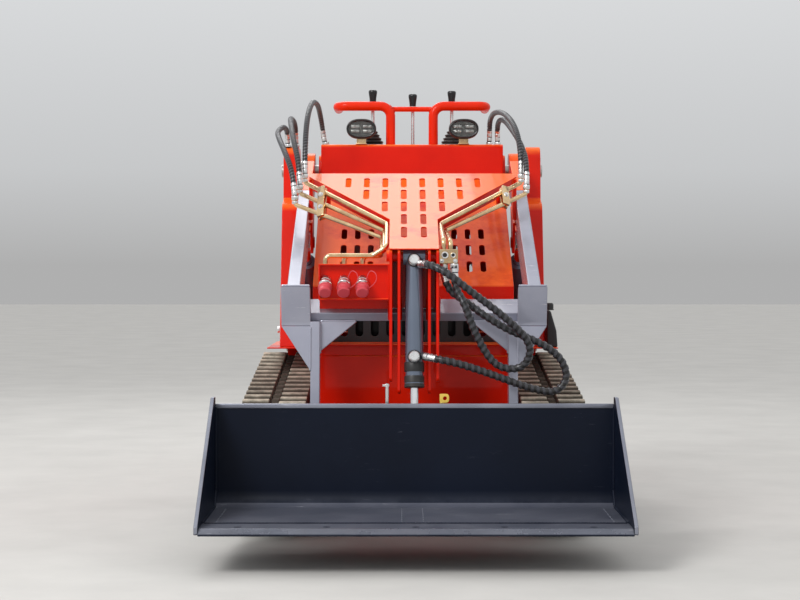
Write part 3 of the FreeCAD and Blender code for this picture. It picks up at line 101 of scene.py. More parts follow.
def objectPlace(tree):
    return addNode(tree, "ShaderNodeTexCoord").outputs["Object"]


def noiseOf(tree, scale, detail, roughness=0.5, place=None):
    return addNode(tree, "ShaderNodeTexNoise", {
        "Vector": place or objectPlace(tree), "Scale": scale, "Detail": detail,
        "Roughness": roughness}).outputs["Fac"]


def heightOf(tree, vector):
    return addNode(tree, "ShaderNodeSeparateXYZ", {0: vector}).outputs["Z"]


def ranged(tree, value, low, high, first=0.0, last=1.0):
    return addNode(tree, "ShaderNodeMapRange", {
        "Value": value, "From Min": low, "From Max": high, "To Min": first, "To Max": last}).outputs[0]


def reckon(tree, operation, first, second, clamp=False):
    return addNode(tree, "ShaderNodeMath", {0: first, 1: second}, operation=operation,
                   use_clamp=clamp).outputs[0]


def mixColour(tree, factor, first, second):
    return addNode(tree, "ShaderNodeMix", {0: factor, 6: first, 7: second}, data_type="RGBA").outputs[2]


def mixValue(tree, factor, first, second):
    return addNode(tree, "ShaderNodeMix", {0: factor, 2: first, 3: second}, data_type="FLOAT").outputs[0]


def startFinish(name, **fixed):
    material = bpy.data.materials.new(name)
    material.use_nodes = True
    tree = material.node_tree
    shader = tree.nodes["Principled BSDF"]
    for key, value in fixed.items():
        shader.inputs[key.replace("_", " ")].default_value = value
    return material, tree, shader.inputs


light = {
    "sky": [(0.0, (0.5, 0.5, 0.5)), (0.05, (0.66, 0.67, 0.68)), (0.18, (0.86, 0.875, 0.89)),
            (0.45, (0.98, 0.99, 1.0))],
    "skyStrength": 0.86, "aim": (0, -0.1, 0.6),
    "boxes": {"keySoftbox": ((-3.2, -4.4, 4.4), 2.2, 225), "rimSoftbox": ((-0.9, 3.5, 4.1), 2.6, 60)},
    "floor": (0.56, 0.545, 0.52), "floorSize": 60, "floorNoise": (3.0, 8.0, 0.6), "floorRoughness": 0.85,
    "floorTones": [(0.3, 0.93), (0.7, 1.05)],
}


def buildWorld():
    world = bpy.data.worlds.new("softSky")
    bpy.context.scene.world = world
    world.use_nodes = True
    tree = world.node_tree
    tree.nodes.clear()
    way = addNode(tree, "ShaderNodeTexCoord").outputs["Generated"]
    sky = addRamp(tree, heightOf(tree, way), light["sky"])
    glow = addNode(tree, "ShaderNodeBackground", {"Color": sky, "Strength": light["skyStrength"]})
    out = addNode(tree, "ShaderNodeOutputWorld")
    tree.links.new(glow.outputs[0], out.inputs[0])


def addSoftbox(name, place, size, power):
    data = bpy.data.lights.new(name, "AREA")
    data.shape = "SQUARE"
    data.size = size
    data.energy = power
    lamp = newObject(name, data)
    lamp.location = place
    aim = Vector(light["aim"]) - Vector(place)
    lamp.rotation_euler = aim.to_track_quat("-Z", "Y").to_euler()


def buildFloor():
    bpy.ops.mesh.primitive_plane_add(size=light["floorSize"])
    floor = bpy.context.object
    floor.name = "floorPlane"
    ground, tree, skin = startFinish("paleFloor", Roughness=light["floorRoughness"])
    stops = [(place, tuple(v * tone for v in light["floor"])) for place, tone in light["floorTones"]]
    tree.links.new(addRamp(tree, noiseOf(tree, *light["floorNoise"]), stops), skin["Base Color"])
    floor.data.materials.append(ground)


buildWorld()
for boxName, box in light["boxes"].items():
    addSoftbox(boxName, *box)
buildFloor()
print("camera, floor and light ready")


# Effects that several finishes share

effect = {
    "dustFacing": (0.3, 1.0), "dustNoise": (9.0, 0.68), "dustPatch": (0.36, 0.72),
    "scuffNoise": (5.0, 0.7), "scuffLines": (0.62, 0.68), "spreadNoise": (7.0, 4.0),
    "spreadKept": (0.5, 0.65),
    "rippleDetail": 2.0, "toneNoise": (4.5, 5.0, 0.55), "grainDetail": 4.0,
}


def startGroup(name, inputs, *outputs):
    group = bpy.data.node_groups.new(name, "ShaderNodeTree")
    kind = "NodeSocketFloat"
    for label, value in inputs.items():
        socket = group.interface.new_socket(name=label, in_out="INPUT", socket_type=kind)
        socket.default_value = value
    for label in outputs:
        group.interface.new_socket(name=label, in_out="OUTPUT", socket_type=kind)
    entry = group.nodes.new("NodeGroupInput").outputs
    out = group.nodes.new("NodeGroupOutput").inputs
    return group, entry, out


def buildDustAndSheenGroup():  # dry dust: low down, on faces that look up, and in patches; the same mask also lays the painted sheen on faces that look up
    values = {"Amount": 0.5, "Reach": 0.5, "Lift": 0.3, "Scale": 6.0}
    group, entry, out = startGroup("dryDust", values, "Mask")
    low = ranged(group, heightOf(group, objectPlace(group)), entry["Reach"], 0.0)
    normal = addNode(group, "ShaderNodeNewGeometry").outputs["Normal"]
    top = ranged(group, heightOf(group, normal), *effect["dustFacing"], 0.0, entry["Lift"])
    patch = ranged(group, noiseOf(group, entry["Scale"], *effect["dustNoise"]), *effect["dustPatch"])
    mixed = reckon(group, "MULTIPLY", reckon(group, "ADD", low, top), patch)
    group.links.new(reckon(group, "MULTIPLY", mixed, entry["Amount"], True), out["Mask"])
    return group


def buildScuffGroup():  # fine scratches that run one way, broken up
    group, entry, out = startGroup("fineScuffs", {"Scale": 20.0, "Stretch": 12.0, "Amount": 0.5}, "Mask")
    squash = addNode(group, "ShaderNodeCombineXYZ", {0: 1.0, 1: entry["Stretch"], 2: entry["Stretch"]})
    long = addNode(group, "ShaderNodeVectorMath", {0: objectPlace(group), 1: squash.outputs[0]},
                   operation="MULTIPLY").outputs[0]
    lines = noiseOf(group, entry["Scale"], *effect["scuffNoise"], long)
    sharp = ranged(group, lines, *effect["scuffLines"])
    keep = ranged(group, noiseOf(group, *effect["spreadNoise"]), *effect["spreadKept"])
    both = reckon(group, "MULTIPLY", sharp, keep)
    group.links.new(reckon(group, "MULTIPLY", both, entry["Amount"]), out["Mask"])
    return group


def buildPeelGroup():  # slight waviness of sprayed paint, and drift in its tone
    group, entry, out = startGroup("sprayPeel", {"Scale": 220.0}, "Height", "Tone")
    group.links.new(noiseOf(group, entry["Scale"], effect["rippleDetail"]), out["Height"])
    group.links.new(noiseOf(group, *effect["toneNoise"]), out["Tone"])
    return group


def buildGrainGroup():  # moulded or cast grain, small and even
    group, entry, out = startGroup("castGrain", {"Scale": 500.0}, "Height")
    cells = addNode(group, "ShaderNodeTexVoronoi", {"Vector": objectPlace(group), "Scale": entry["Scale"]})
    haze = noiseOf(group, entry["Scale"], effect["grainDetail"])
    group.links.new(reckon(group, "ADD", cells.outputs["Distance"], haze), out["Height"])
    return group


dustAndSheenGroup = buildDustAndSheenGroup()
scuffGroup = buildScuffGroup()
peelGroup = buildPeelGroup()
grainGroup = buildGrainGroup()


def useGroup(tree, group, **values):
    placed = tree.nodes.new("ShaderNodeGroup")
    placed.node_tree = group
    for key, value in values.items():
        placed.inputs[key].default_value = value
    return placed.outputs


def roughen(tree, skin, strength, distance, height):
    bump = addNode(tree, "ShaderNodeBump", {"Strength": strength, "Distance": distance, "Height": height})
    tree.links.new(bump.outputs[0], skin["Normal"])


# Finishes: a tone between two colours, then scuffs and dust over it, and on the red paint a painted sheen on
# faces that look up

dustColour = (0.36, 0.3, 0.24, 1)
paint = {"coatRoughness": 0.05, "stops": (0.3, 0.7), "dustScale": 7.0, "scuffScale": 16.0,
         "scuffRoughness": 0.5, "dustRoughness": 0.9, "peel": (0.08, 0.0006),
         # painted sheen: faces that look up, in wide patches, where the red is painted paler as if lit
         "faded": {"Amount": 3.6, "Reach": 0.001, "Lift": 0.9, "Scale": 2.2}}


def twoTones(tree, factor, stops, deep, colour):
    return addRamp(tree, factor, [(stops[0], deep), (stops[1], colour)])


def paintFinish(name, colour, deep, roughness=0.3, dust=0.4, reach=0.3, lift=0.1, scuffs=0.25,
                bare=(0.6, 0.3, 0.25), coat=0.5, shine=0.4, metal=0.0, dustTone=dustColour, faded=None):
    material, tree, skin = startFinish(name, Coat_Weight=coat, Coat_Roughness=paint["coatRoughness"],
                                       Specular_IOR_Level=shine, Metallic=metal)
    peel = useGroup(tree, peelGroup)
    grime = useGroup(tree, dustAndSheenGroup, Amount=dust, Reach=reach, Lift=lift, Scale=paint["dustScale"])["Mask"]
    marks = useGroup(tree, scuffGroup, Amount=scuffs, Scale=paint["scuffScale"])["Mask"]
    tone = twoTones(tree, peel["Tone"], paint["stops"], deep, colour)
    if faded:  # painted sheen: faces that look up are painted paler and more orange, as if lit from above
        tone = mixColour(tree, useGroup(tree, dustAndSheenGroup, **paint["faded"])["Mask"], tone, (*faded, 1))
    rubbed = mixColour(tree, marks, tone, (*bare, 1))
    tree.links.new(mixColour(tree, grime, rubbed, dustTone), skin["Base Color"])
    worn = mixValue(tree, marks, roughness, paint["scuffRoughness"])
    tree.links.new(mixValue(tree, grime, worn, paint["dustRoughness"]), skin["Roughness"])
    roughen(tree, skin, *paint["peel"], peel["Height"])
    return material


alloy = {"stops": (0.35, 0.65), "noise": (6.0, 0.6)}


def metalFinish(name, colour, deep, roughness, rough, scale):
    material, tree, skin = startFinish(name, Metallic=1.0)
    cloud = noiseOf(tree, scale, *alloy["noise"])
    tree.links.new(twoTones(tree, cloud, alloy["stops"], deep, colour), skin["Base Color"])
    tree.links.new(mixValue(tree, cloud, roughness, rough), skin["Roughness"])
    return material


mould = {"shine": 0.45, "dustReach": 0.5, "dustScale": 11.0, "dustRoughness": 0.95, "grain": 0.35}


def mouldFinish(name, colour, deep, roughness, dust, grain, depth, lift=0.5):
    material, tree, skin = startFinish(name, Specular_IOR_Level=mould["shine"])
    height = useGroup(tree, grainGroup, Scale=grain)["Height"]
    peel = useGroup(tree, peelGroup)
    grime = useGroup(tree, dustAndSheenGroup, Amount=dust, Reach=mould["dustReach"], Lift=lift,
                     Scale=mould["dustScale"])["Mask"]
    tone = twoTones(tree, peel["Tone"], paint["stops"], deep, colour)
    tree.links.new(mixColour(tree, grime, tone, dustColour), skin["Base Color"])
    tree.links.new(mixValue(tree, grime, roughness, mould["dustRoughness"]), skin["Roughness"])
    roughen(tree, skin, mould["grain"], depth, height)
    return material


# crown: pale, partly dust and partly painted light; floor: painted shade on the walls and floor between the
# lugs; rubber: bare patches
soilAndLugShade = {"crown": (0.6, 0.54, 0.43, 1), "floor": (0.088, 0.07, 0.054, 1), "rubber": (0.03, 0.026, 0.023, 1),
        "crownFrom": (0.66, 0.95), "cloud": (26.0, 9.0, 0.7), "bald": (0.42, 0.6, 0.5, 0.0),
        "grit": (240.0, 5.0), "bump": (0.6, 0.002)}


def trackFinish():  # rubber with dried soil and painted light: the lugs' crowns, which the attribute marks, are painted palest, partly dust and partly as if lit, and the walls and floor between the lugs are painted dark as shade
    material, tree, skin = startFinish("dustyRubber", Specular_IOR_Level=0.25, Roughness=0.9)
    height = addNode(tree, "ShaderNodeAttribute", attribute_name="crown").outputs["Fac"]
    cloud = noiseOf(tree, *soilAndLugShade["cloud"])
    tone = mixColour(tree, ranged(tree, height, *soilAndLugShade["crownFrom"]), soilAndLugShade["floor"], soilAndLugShade["crown"])
    bald = ranged(tree, cloud, *soilAndLugShade["bald"])
    tree.links.new(mixColour(tree, bald, tone, soilAndLugShade["rubber"]), skin["Base Color"])
    roughen(tree, skin, *soilAndLugShade["bump"], reckon(tree, "ADD", noiseOf(tree, *soilAndLugShade["grit"]), cloud))
    return material


lens = {"noise": (60.0, 2.0), "deep": (0.72, 0.72, 0.7), "clear": (0.9, 0.9, 0.88), "roughness": (0.02, 0.1)}


def lensFinish():
    material, tree, skin = startFinish("clearLens", Transmission_Weight=1.0, IOR=1.49, Metallic=0.0)
    haze = noiseOf(tree, *lens["noise"])
    tree.links.new(twoTones(tree, haze, paint["stops"], lens["deep"], lens["clear"]), skin["Base Color"])
    tree.links.new(mixValue(tree, haze, *lens["roughness"]), skin["Roughness"])
    return material


finish = {
    # red paint; faces that look up get a painted sheen, paler and more orange, as if lit
    "red_paint": paintFinish(
        "glossRed", (0.78, 0.014, 0.0008), (0.64, 0.008, 0.0006), roughness=0.3, dust=0.35,
        bare=(0.8, 0.1, 0.03), coat=0.27, shine=0.1, faded=(1.0, 0.145, 0.014)),
    "grey_paint": paintFinish(
        "slateGrey", (0.375, 0.382, 0.455), (0.265, 0.275, 0.345), roughness=0.24, dust=0.3, lift=0.05,
        scuffs=0.5, bare=(0.5, 0.5, 0.5), metal=0.25, coat=0.22, shine=0.3),
    "barrel_grey": paintFinish(
        "barrelGrey", (0.15, 0.18, 0.24), (0.112, 0.138, 0.19), roughness=0.18, dust=0.2, lift=0.05,
        scuffs=0.3, bare=(0.4, 0.4, 0.4), metal=0.45, coat=0.5, shine=0.5),
    "black_paint": paintFinish(
        "satinBlack", (0.016, 0.016, 0.018), (0.01, 0.01, 0.012), roughness=0.45, dust=0.9, reach=0.45,
        lift=0.45, scuffs=0.5, bare=(0.12, 0.12, 0.12), coat=0.2),
    # its dust is slate rather than brown and gathers on faces that look up: partly dust, partly painted light
    # on the floor
    "bucket_paint": paintFinish(
        "bucketNavy", (0.0046, 0.0082, 0.02), (0.003, 0.0056, 0.0145), roughness=0.36, dust=0.8, reach=0.14,
        lift=0.4, scuffs=0.35, bare=(0.12, 0.13, 0.16), coat=0.0, shine=0.16,
        dustTone=(0.1, 0.108, 0.142, 1)),
    # bucket rim: worn, and painted lighter as a highlight on its edges
    "bucket_edge": paintFinish(
        "wornRim", (0.3, 0.315, 0.375), (0.17, 0.18, 0.225), roughness=0.3, dust=0.1, lift=0.1, scuffs=0.6,
        bare=(0.6, 0.6, 0.62), coat=0.1, metal=0.4),
    "bucket_lip": paintFinish(
        "wornLip", (0.15, 0.162, 0.205), (0.06, 0.068, 0.094), roughness=0.26, dust=0.1, lift=0.1, scuffs=0.9,
        bare=(0.6, 0.6, 0.62), coat=0.1, metal=0.5),
    # the bucket floor where it faces up: a lighter slate, partly scuffs and dust, partly painted light from
    # the sky above
    "bucket_floor": paintFinish(
        "slateFloor", (0.088, 0.094, 0.124), (0.056, 0.062, 0.086), roughness=0.32, dust=0.35, reach=0.14,
        lift=0.4, scuffs=1.3, bare=(0.42, 0.43, 0.48), coat=0.0, dustTone=(0.2, 0.2, 0.23, 1)),
    "handle_paint": paintFinish(
        "handleRed", (0.86, 0.028, 0.002), (0.76, 0.02, 0.002), roughness=0.26, dust=0.2,
        bare=(0.8, 0.12, 0.05), coat=0.15, shine=0.12),
    "track_rubber": trackFinish(),
    "lamp_lens": lensFinish(),
}
hoseGrain = (700.0, 0.0002, 0.2)
glossGrain = (900.0, 0.0001)
for key, name, *look in (
        ("hose_rubber", "hoseBlack", (0.012, 0.012, 0.013), (0.007, 0.007, 0.008), 0.4, 0.25, *hoseGrain),
        ("guard_dark", "guardDark", (0.052, 0.052, 0.06), (0.036, 0.036, 0.042), 0.26, 0.15, *hoseGrain),
        ("guard_grey", "guardGrey", (0.105, 0.105, 0.112), (0.07, 0.07, 0.076), 0.28, 0.2, *hoseGrain),
        ("black_plastic", "moulded", (0.022, 0.022, 0.023), (0.014, 0.014, 0.015), 0.42, 0.5, 900.0, 0.0002),
        ("knob_plastic", "glossKnob", (0.014, 0.014, 0.015), (0.009, 0.009, 0.01), 0.22, 0.15, *glossGrain),
        ("cap_red", "capRed", (0.74, 0.1, 0.12), (0.6, 0.06, 0.08), 0.3, 0.1, *glossGrain),
        ("tag_yellow", "tagYellow", (0.8, 0.56, 0.1), (0.7, 0.46, 0.07), 0.35, 0.1, *glossGrain),
        ("lamp_grey", "reflectorGrey", (0.3, 0.3, 0.29), (0.22, 0.22, 0.21), 0.3, 0.1, *glossGrain),
        ("gauge_white", "gaugeWhite", (0.72, 0.72, 0.7), (0.66, 0.66, 0.64), 0.3, 0.05, *glossGrain)):
    finish[key] = mouldFinish(name, *look)
for key, name, *look in (
        ("chrome", "hardChrome", (0.86, 0.87, 0.89), (0.8, 0.81, 0.83), 0.05, 0.1, 30.0),
        ("bare_steel", "turnedSteel", (0.6, 0.59, 0.57), (0.42, 0.41, 0.39), 0.28, 0.42, 60.0),
        ("plated_steel", "yellowZinc", (0.84, 0.62, 0.36), (0.62, 0.42, 0.24), 0.15, 0.28, 22.0),
        ("coupler_steel", "whiteZinc", (0.86, 0.86, 0.85), (0.7, 0.7, 0.7), 0.22, 0.34, 45.0)):
    finish[key] = metalFinish(name, *look)
print(len(finish), "finishes ready")


# Ways of working that the pieces below share

def takeHold(piece):
    bpy.ops.object.select_all(action="DESELECT")
    piece.select_set(True)
    bpy.context.view_layer.objects.active = piece


def inEditMode(piece, *steps):  # each step works on the whole mesh
    takeHold(piece)
    bpy.ops.object.mode_set(mode="EDIT")
    for step, values in steps:
        bpy.ops.mesh.select_all(action="SELECT")
        step(**values)
    bpy.ops.object.mode_set(mode="OBJECT")


def applyModifiers(piece):
    takeHold(piece)
    for modifier in list(piece.modifiers):
        bpy.ops.object.modifier_apply(modifier=modifier.name)


def smoothShade(piece, degrees=40):
    takeHold(piece)
    bpy.ops.object.shade_smooth_by_angle(angle=math.radians(degrees))


def meshPiece(name, points, faces, edges=()):
    mesh = bpy.data.meshes.new(name)
    mesh.from_pydata([tuple(p) for p in points], list(edges), faces)
    return newObject(name, mesh)


def restInMesh(piece):  # the place goes into the mesh, so the object sits at the origin
    takeHold(piece)
    bpy.ops.object.transform_apply(location=True, rotation=True, scale=True)


def facingMatrix(place, toward):  # a piece modelled along Z is turned to look that way
    turn = Vector(toward).normalized().to_track_quat("Z", "Y").to_matrix().to_4x4()
    return Matrix.Translation(Vector(place)) @ turn


def joinAll(name, pieces):
    takeHold(pieces[0])
    for other in pieces[1:]:
        other.select_set(True)
    if len(pieces) > 1:
        bpy.ops.object.join()
    pieces[0].name = name
    pieces[0].data.name = name
    return pieces[0]


outward = (bpy.ops.mesh.normals_make_consistent, {"inside": False})


def spunPiece(name, profile, steps):  # a half outline of (radius, height) turned round Z
    edges = [(k, k + 1) for k in range(len(profile) - 1)]
    piece = meshPiece(name, [(radius, 0, height) for radius, height in profile], [], edges)
    whole = {"steps": steps, "angle": 2 * math.pi, "center": (0, 0, 0), "axis": (0, 0, 1)}
    close = {"threshold": 0.00001}
    inEditMode(piece, (bpy.ops.mesh.spin, whole), (bpy.ops.mesh.remove_doubles, close), outward)
    return piece


def softEdges(piece, width, degrees=30):
    bevel = piece.modifiers.new("softEdges", "BEVEL")
    bevel.width = width
    bevel.segments = 2
    bevel.limit_method = "ANGLE"
    bevel.angle_limit = math.radians(degrees)
    bevel.use_clamp_overlap = False
    applyModifiers(piece)


def blockPiece(name, low, high, edge):  # a block between two corners, its edges eased
    bpy.ops.mesh.primitive_cube_add(size=1, location=[(a + b) / 2 for a, b in zip(low, high)])
    piece = bpy.context.object
    piece.name = name
    piece.scale = [b - a for a, b in zip(low, high)]
    restInMesh(piece)
    softEdges(piece, edge)
    return piece


# The frame's parts get eased edges: each copy stands for its node

rounding = {
    "widths": {
        0.0008: "tilt_rod lift_rod_left lift_rod_right",
        0.001: "body_sides arm_panel nose_grille tilt_barrel lift_barrel_left lift_barrel_right",
        0.0012: "coupler_box lock_handles",
        0.0014: "bonnet rear_panel fenders panel_cheeks platform_hinges drives hose_block bucket_pins",
        0.0016: "cutting_edge mount_plate lift_lugs tilt_bracket",
        0.0018: "tow_plate pivot_pins",
        0.002: "console chassis_frame rear_link_left rear_link_right track_wheels platform",
        0.0022: "bucket_shell bucket_sides tower_left tower_right leg_left leg_right cross_beam track_frames",
        0.0028: "track_left track_right",
        0.003: "arm_left arm_right engine_block",
        0.005: "fuel_tank handlebars"},
    "degrees": {"cutting_edge": 12, "arm_left": 18, "arm_right": 18, "handlebars": 40},
    "usualDegrees": 30, "doubles": 0.00003, "flatDegrees": 0.6, "smoothDegrees": 50,
}


def workName(nodeName):
    first, *rest = nodeName.split("_")
    return first + "".join(word.capitalize() for word in rest) + "Made"


def roundedCopy(nodeName, width, degrees):
    piece = newObject(workName(nodeName), nodes[nodeName].data.copy())
    takeHold(piece)
    bpy.ops.mesh.customdata_custom_splitnormals_clear()
    inEditMode(piece, (bpy.ops.mesh.remove_doubles, {"threshold": rounding["doubles"]}),
               (bpy.ops.mesh.dissolve_limited, {"angle_limit": math.radians(rounding["flatDegrees"])}))
    softEdges(piece, width, degrees)
    smoothShade(piece, rounding["smoothDegrees"])
    weigh = piece.modifiers.new("wideFaces", "WEIGHTED_NORMAL")  # wide faces keep their own normals
    weigh.keep_sharp = True
    weigh.weight = 100
    applyModifiers(piece)
    piece.data.materials[0] = finish[slotOf[nodeName]]
    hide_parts(nodeName)
    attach(piece, bodyOf[nodeName])
    return piece


made = {}
for edgeWidth, names in rounding["widths"].items():
    for nodeName in names.split():
        edgeAngle = rounding["degrees"].get(nodeName, rounding["usualDegrees"])
        made[nodeName] = roundedCopy(nodeName, edgeWidth, edgeAngle)
        print(nodeName, "eased,", len(made[nodeName].data.polygons), "faces")


def paintFaces(nodeName, finishName, test):  # faces that pass the test get a second finish
    mesh = made[nodeName].data
    mesh.materials.append(finish[finishName])
    for face in mesh.polygons:
        if test(face.center, face.normal):
            face.material_index = len(mesh.materials) - 1


# Tracks: how near each point is to the lugs' crowns, for the dried soil and the painted light and shade on
# the lugs

trackLoop = {"wheels": [(-0.3, 0.181, 0.181), (0.43, 0.12, 0.12), (0.56, 0.282, 0.178)],
             "lugHeight": 0.026, "directions": 180}


def crownOf(y, z):
    best = -1.0
    for k in range(trackLoop["directions"]):
        turn = 2 * math.pi * k / trackLoop["directions"]
        c, s = math.cos(turn), math.sin(turn)
        reach = max(c * wy + s * wz + r for wy, wz, r in trackLoop["wheels"])
        best = max(best, c * y + s * z - reach)
    return min(max(1 + best / trackLoop["lugHeight"], 0), 1)


def markCrowns(piece):
    known = {}
    mark = piece.data.attributes.new("crown", "FLOAT", "POINT")
    for vertex in piece.data.vertices:
        key = (round(vertex.co.y, 3), round(vertex.co.z, 3))
        if key not in known:
            known[key] = crownOf(*key)
        mark.data[vertex.index].value = known[key]


markCrowns(made["track_left"])
markCrowns(made["track_right"])
print("tracks marked")

# Bucket: the top of its back and the edges of its sides are worn and painted lighter as a highlight, its lips
# are worn bright, and its floor is painted lighter where it faces up, partly scuffs and dust, partly painted
# light

paintFaces("bucket_shell", "bucket_edge", lambda c, n: c.z > 0.37 and n.z > 0.25)
# faces of the floor that look up get the lighter floor finish, partly painted light
paintFaces("bucket_shell", "bucket_floor", lambda c, n: n.z > 0.8 and c.z < 0.2)
paintFaces("bucket_sides", "bucket_edge", lambda c, n: abs(n.x) < 0.9 and n.y < 0.1 and n.z > -0.2)
paintFaces("cutting_edge", "bucket_lip", lambda c, n: n.z > 0.3 and c.y < -1.026)
paintFaces("cutting_edge", "bucket_floor", lambda c, n: n.z > 0.9 and c.y > -1.027)


# Hoses: each follows the route of its tube in the frame

tiltHose = {"pitch": 0.0172, "across": 0.02, "bodies": ("loader_arm", "tilt_barrel"), "guard": "guard_dark"}
armHose = {"pitch": 0.0098, "across": 0.016, "bodies": ("chassis", "loader_arm"), "guard": "guard_grey",
           "blend": ((0, 0.36, 1.1), (0, 0.06, 1.1))}
hoses = {
    "tiltHoseUpper": {
        **tiltHose, "node": "tilt_hose_upper", "length": 0.861,
        "blend": ((0.094, -0.5, 0.74), (0.03, -0.5, 0.74)), "points": [
            (0.01, -0.484, 0.742), (0.034, -0.534, 0.744), (0.085, -0.562, 0.72), (0.158, -0.567, 0.662),
            (0.244, -0.56, 0.598), (0.314, -0.545, 0.528), (0.29, -0.525, 0.462), (0.214, -0.522, 0.466),
            (0.16, -0.53, 0.556), (0.134, -0.528, 0.636), (0.106, -0.49, 0.684), (0.106, -0.486, 0.742)]},
    "tiltHoseLower": {
        **tiltHose, "node": "tilt_hose_lower", "length": 0.919,
        "blend": ((0, -0.5, 0.7), (0, -0.5, 0.52)), "points": [
            (0.0189, -0.5183, 0.498), (0.054, -0.553, 0.493), (0.13, -0.552, 0.476), (0.215, -0.54, 0.446),
            (0.3, -0.52, 0.414), (0.374, -0.507, 0.396), (0.41, -0.503, 0.436), (0.392, -0.507, 0.492),
            (0.338, -0.51, 0.532), (0.258, -0.512, 0.562), (0.19, -0.502, 0.602), (0.14, -0.47, 0.64),
            (0.079, -0.474, 0.68), (0.079, -0.478, 0.742)]},
    "armHoseLeftA": {
        **armHose, "node": "arm_hose_left_1", "length": 0.7, "points": [
            (-0.315, -0.016, 0.994), (-0.315, -0.016, 1.07), (-0.314, 0.07, 1.17), (-0.306, 0.22, 1.236),
            (-0.294, 0.35, 1.24), (-0.29, 0.44, 1.216), (-0.284, 0.48, 1.172), (-0.276, 0.48, 1.1206)]},
    "armHoseLeftB": {
        **armHose, "node": "arm_hose_left_2", "length": 0.681, "points": [
            (-0.328, -0.046, 0.961), (-0.33, -0.046, 1.03), (-0.35, 0.04, 1.1), (-0.368, 0.19, 1.168),
            (-0.378, 0.34, 1.196), (-0.37, 0.438, 1.19), (-0.368, 0.476, 1.155), (-0.368, 0.478, 1.1146)]},
    "armHoseLeftC": {
        **armHose, "node": "arm_hose_left_3", "length": 0.704, "points": [
            (-0.341, -0.076, 0.928), (-0.345, -0.076, 1.0), (-0.375, 0.01, 1.07), (-0.404, 0.15, 1.125),
            (-0.414, 0.29, 1.15), (-0.404, 0.394, 1.172), (-0.396, 0.448, 1.168), (-0.394, 0.478, 1.146),
            (-0.394, 0.48, 1.1146)]},
    "armHoseRightA": {
        **armHose, "node": "arm_hose_right_1", "length": 0.666, "points": [
            (0.315, -0.016, 0.994), (0.315, -0.016, 1.07), (0.304, 0.074, 1.15), (0.28, 0.21, 1.2),
            (0.256, 0.35, 1.215), (0.246, 0.446, 1.2), (0.246, 0.478, 1.163), (0.246, 0.48, 1.1206)]},
    "armHoseRightB": {
        **armHose, "node": "arm_hose_right_2", "length": 0.671, "points": [
            (0.328, -0.046, 0.961), (0.331, -0.046, 1.03), (0.321, 0.04, 1.09), (0.3, 0.17, 1.146),
            (0.283, 0.31, 1.188), (0.272, 0.424, 1.194), (0.27, 0.48, 1.165), (0.272, 0.48, 1.1206)]},
}
hoseShape = {"wall": 0.0011, "step": 0.0012, "sides": 20, "guardShare": 0.56, "guardHeight": 0.0018,
             "guardRadius": 0.009, "guardAround": 18, "guardSink": 0.0004, "shoulder": (0.78, 0.9),
             "sleeveLength": 0.034, "sleeveSides": 24, "nutLength": 0.014, "nutShare": 0.98,
             "crimpEvery": 11, "crimps": (9, 10), "crimpShare": 1.1, "sleeveShare": 1.22}


def routeOf(points):  # the places along a smooth line through the points
    curve = bpy.data.curves.new("route", "CURVE")
    curve.dimensions = "3D"
    spline = curve.splines.new("NURBS")
    spline.points.add(len(points) - 1)
    for knot, place in zip(spline.points, points):
        knot.co = (*place, 1)
    spline.order_u = 3
    spline.use_endpoint_u = True
    curve.resolution_u = 16
    line = newObject("route", curve)
    flat = bpy.data.meshes.new_from_object(line)
    route = [v.co.copy() for v in flat.vertices]
    bpy.data.meshes.remove(flat)
    bpy.data.objects.remove(line)
    return route


def framesAlong(points, step):  # evenly spaced places with a pair of cross directions that never twist
    run = [0.0]
    for a, b in zip(points, points[1:]):
        run.append(run[-1] + (b - a).length)
    count = max(2, round(run[-1] / step))
    places = []
    k = 0
    for i in range(count + 1):
        want = run[-1] * i / count
        while k < len(points) - 2 and run[k + 1] < want:
            k += 1
        share = (want - run[k]) / max(run[k + 1] - run[k], 1e-9)
        places.append(points[k].lerp(points[k + 1], min(share, 1.0)))
    ways = [(places[min(i + 1, count)] - places[max(i - 1, 0)]).normalized() for i in range(count + 1)]
    side = ways[0].orthogonal().normalized()
    frames = []
    for place, way in zip(places, ways):
        side = (side - way * side.dot(way)).normalized()
        frames.append((place, side, way.cross(side)))
    return frames, run[-1]


def onRing(place, side, up, turn, radius):
    return place + (side * math.cos(turn) + up * math.sin(turn)) * radius


def ringFaces(rings, count):  # walls between closed rings of points
    faces = []
    for start in range(0, (rings - 1) * count, count):
        for k in range(count):
            a, b = start + k, start + (k + 1) % count
            faces.append((a, b, b + count, a + count))
    return faces


def sweptTube(name, frames, radii, sides):
    points = [onRing(*at, 2 * math.pi * k / sides, radius)
              for at, radius in zip(frames, radii) for k in range(sides)]
    last = (len(frames) - 1) * sides
    caps = [tuple(range(sides))[::-1], tuple(range(last, last + sides))]
    return meshPiece(name, points, ringFaces(len(frames), sides) + caps)


def guardBand(name, frames, length, radius, pitch):  # a strip wound round the hose
    around = hoseShape["guardAround"]
    height = hoseShape["guardHeight"] * radius / hoseShape["guardRadius"]
    half = pitch * hoseShape["guardShare"] / 2
    wide, tall = hoseShape["shoulder"]
    sink = -hoseShape["guardSink"]
    strip = [(-half, sink), (-half * wide, height * tall), (0, height), (half * wide, height * tall),
             (half, sink)]
    points = []
    faces = []
    steps = int(length / pitch * around)
    margin = half / length
    for i in range(steps + 1):
        share = margin + (1 - 2 * margin) * i / steps
        for shift, out in strip:
            at = (share + shift / length) * (len(frames) - 1)
            k = min(max(int(at), 0), len(frames) - 2)
            between = [a.lerp(b, at - k) for a, b in zip(frames[k], frames[k + 1])]
            points.append(onRing(*between, 2 * math.pi * i / around, radius + out))
        if i:
            a = (i - 1) * len(strip)
            faces += [(a + j, a + j + 1, a + j + 6, a + j + 5) for j in range(4)]
    return meshPiece(name, points, faces)


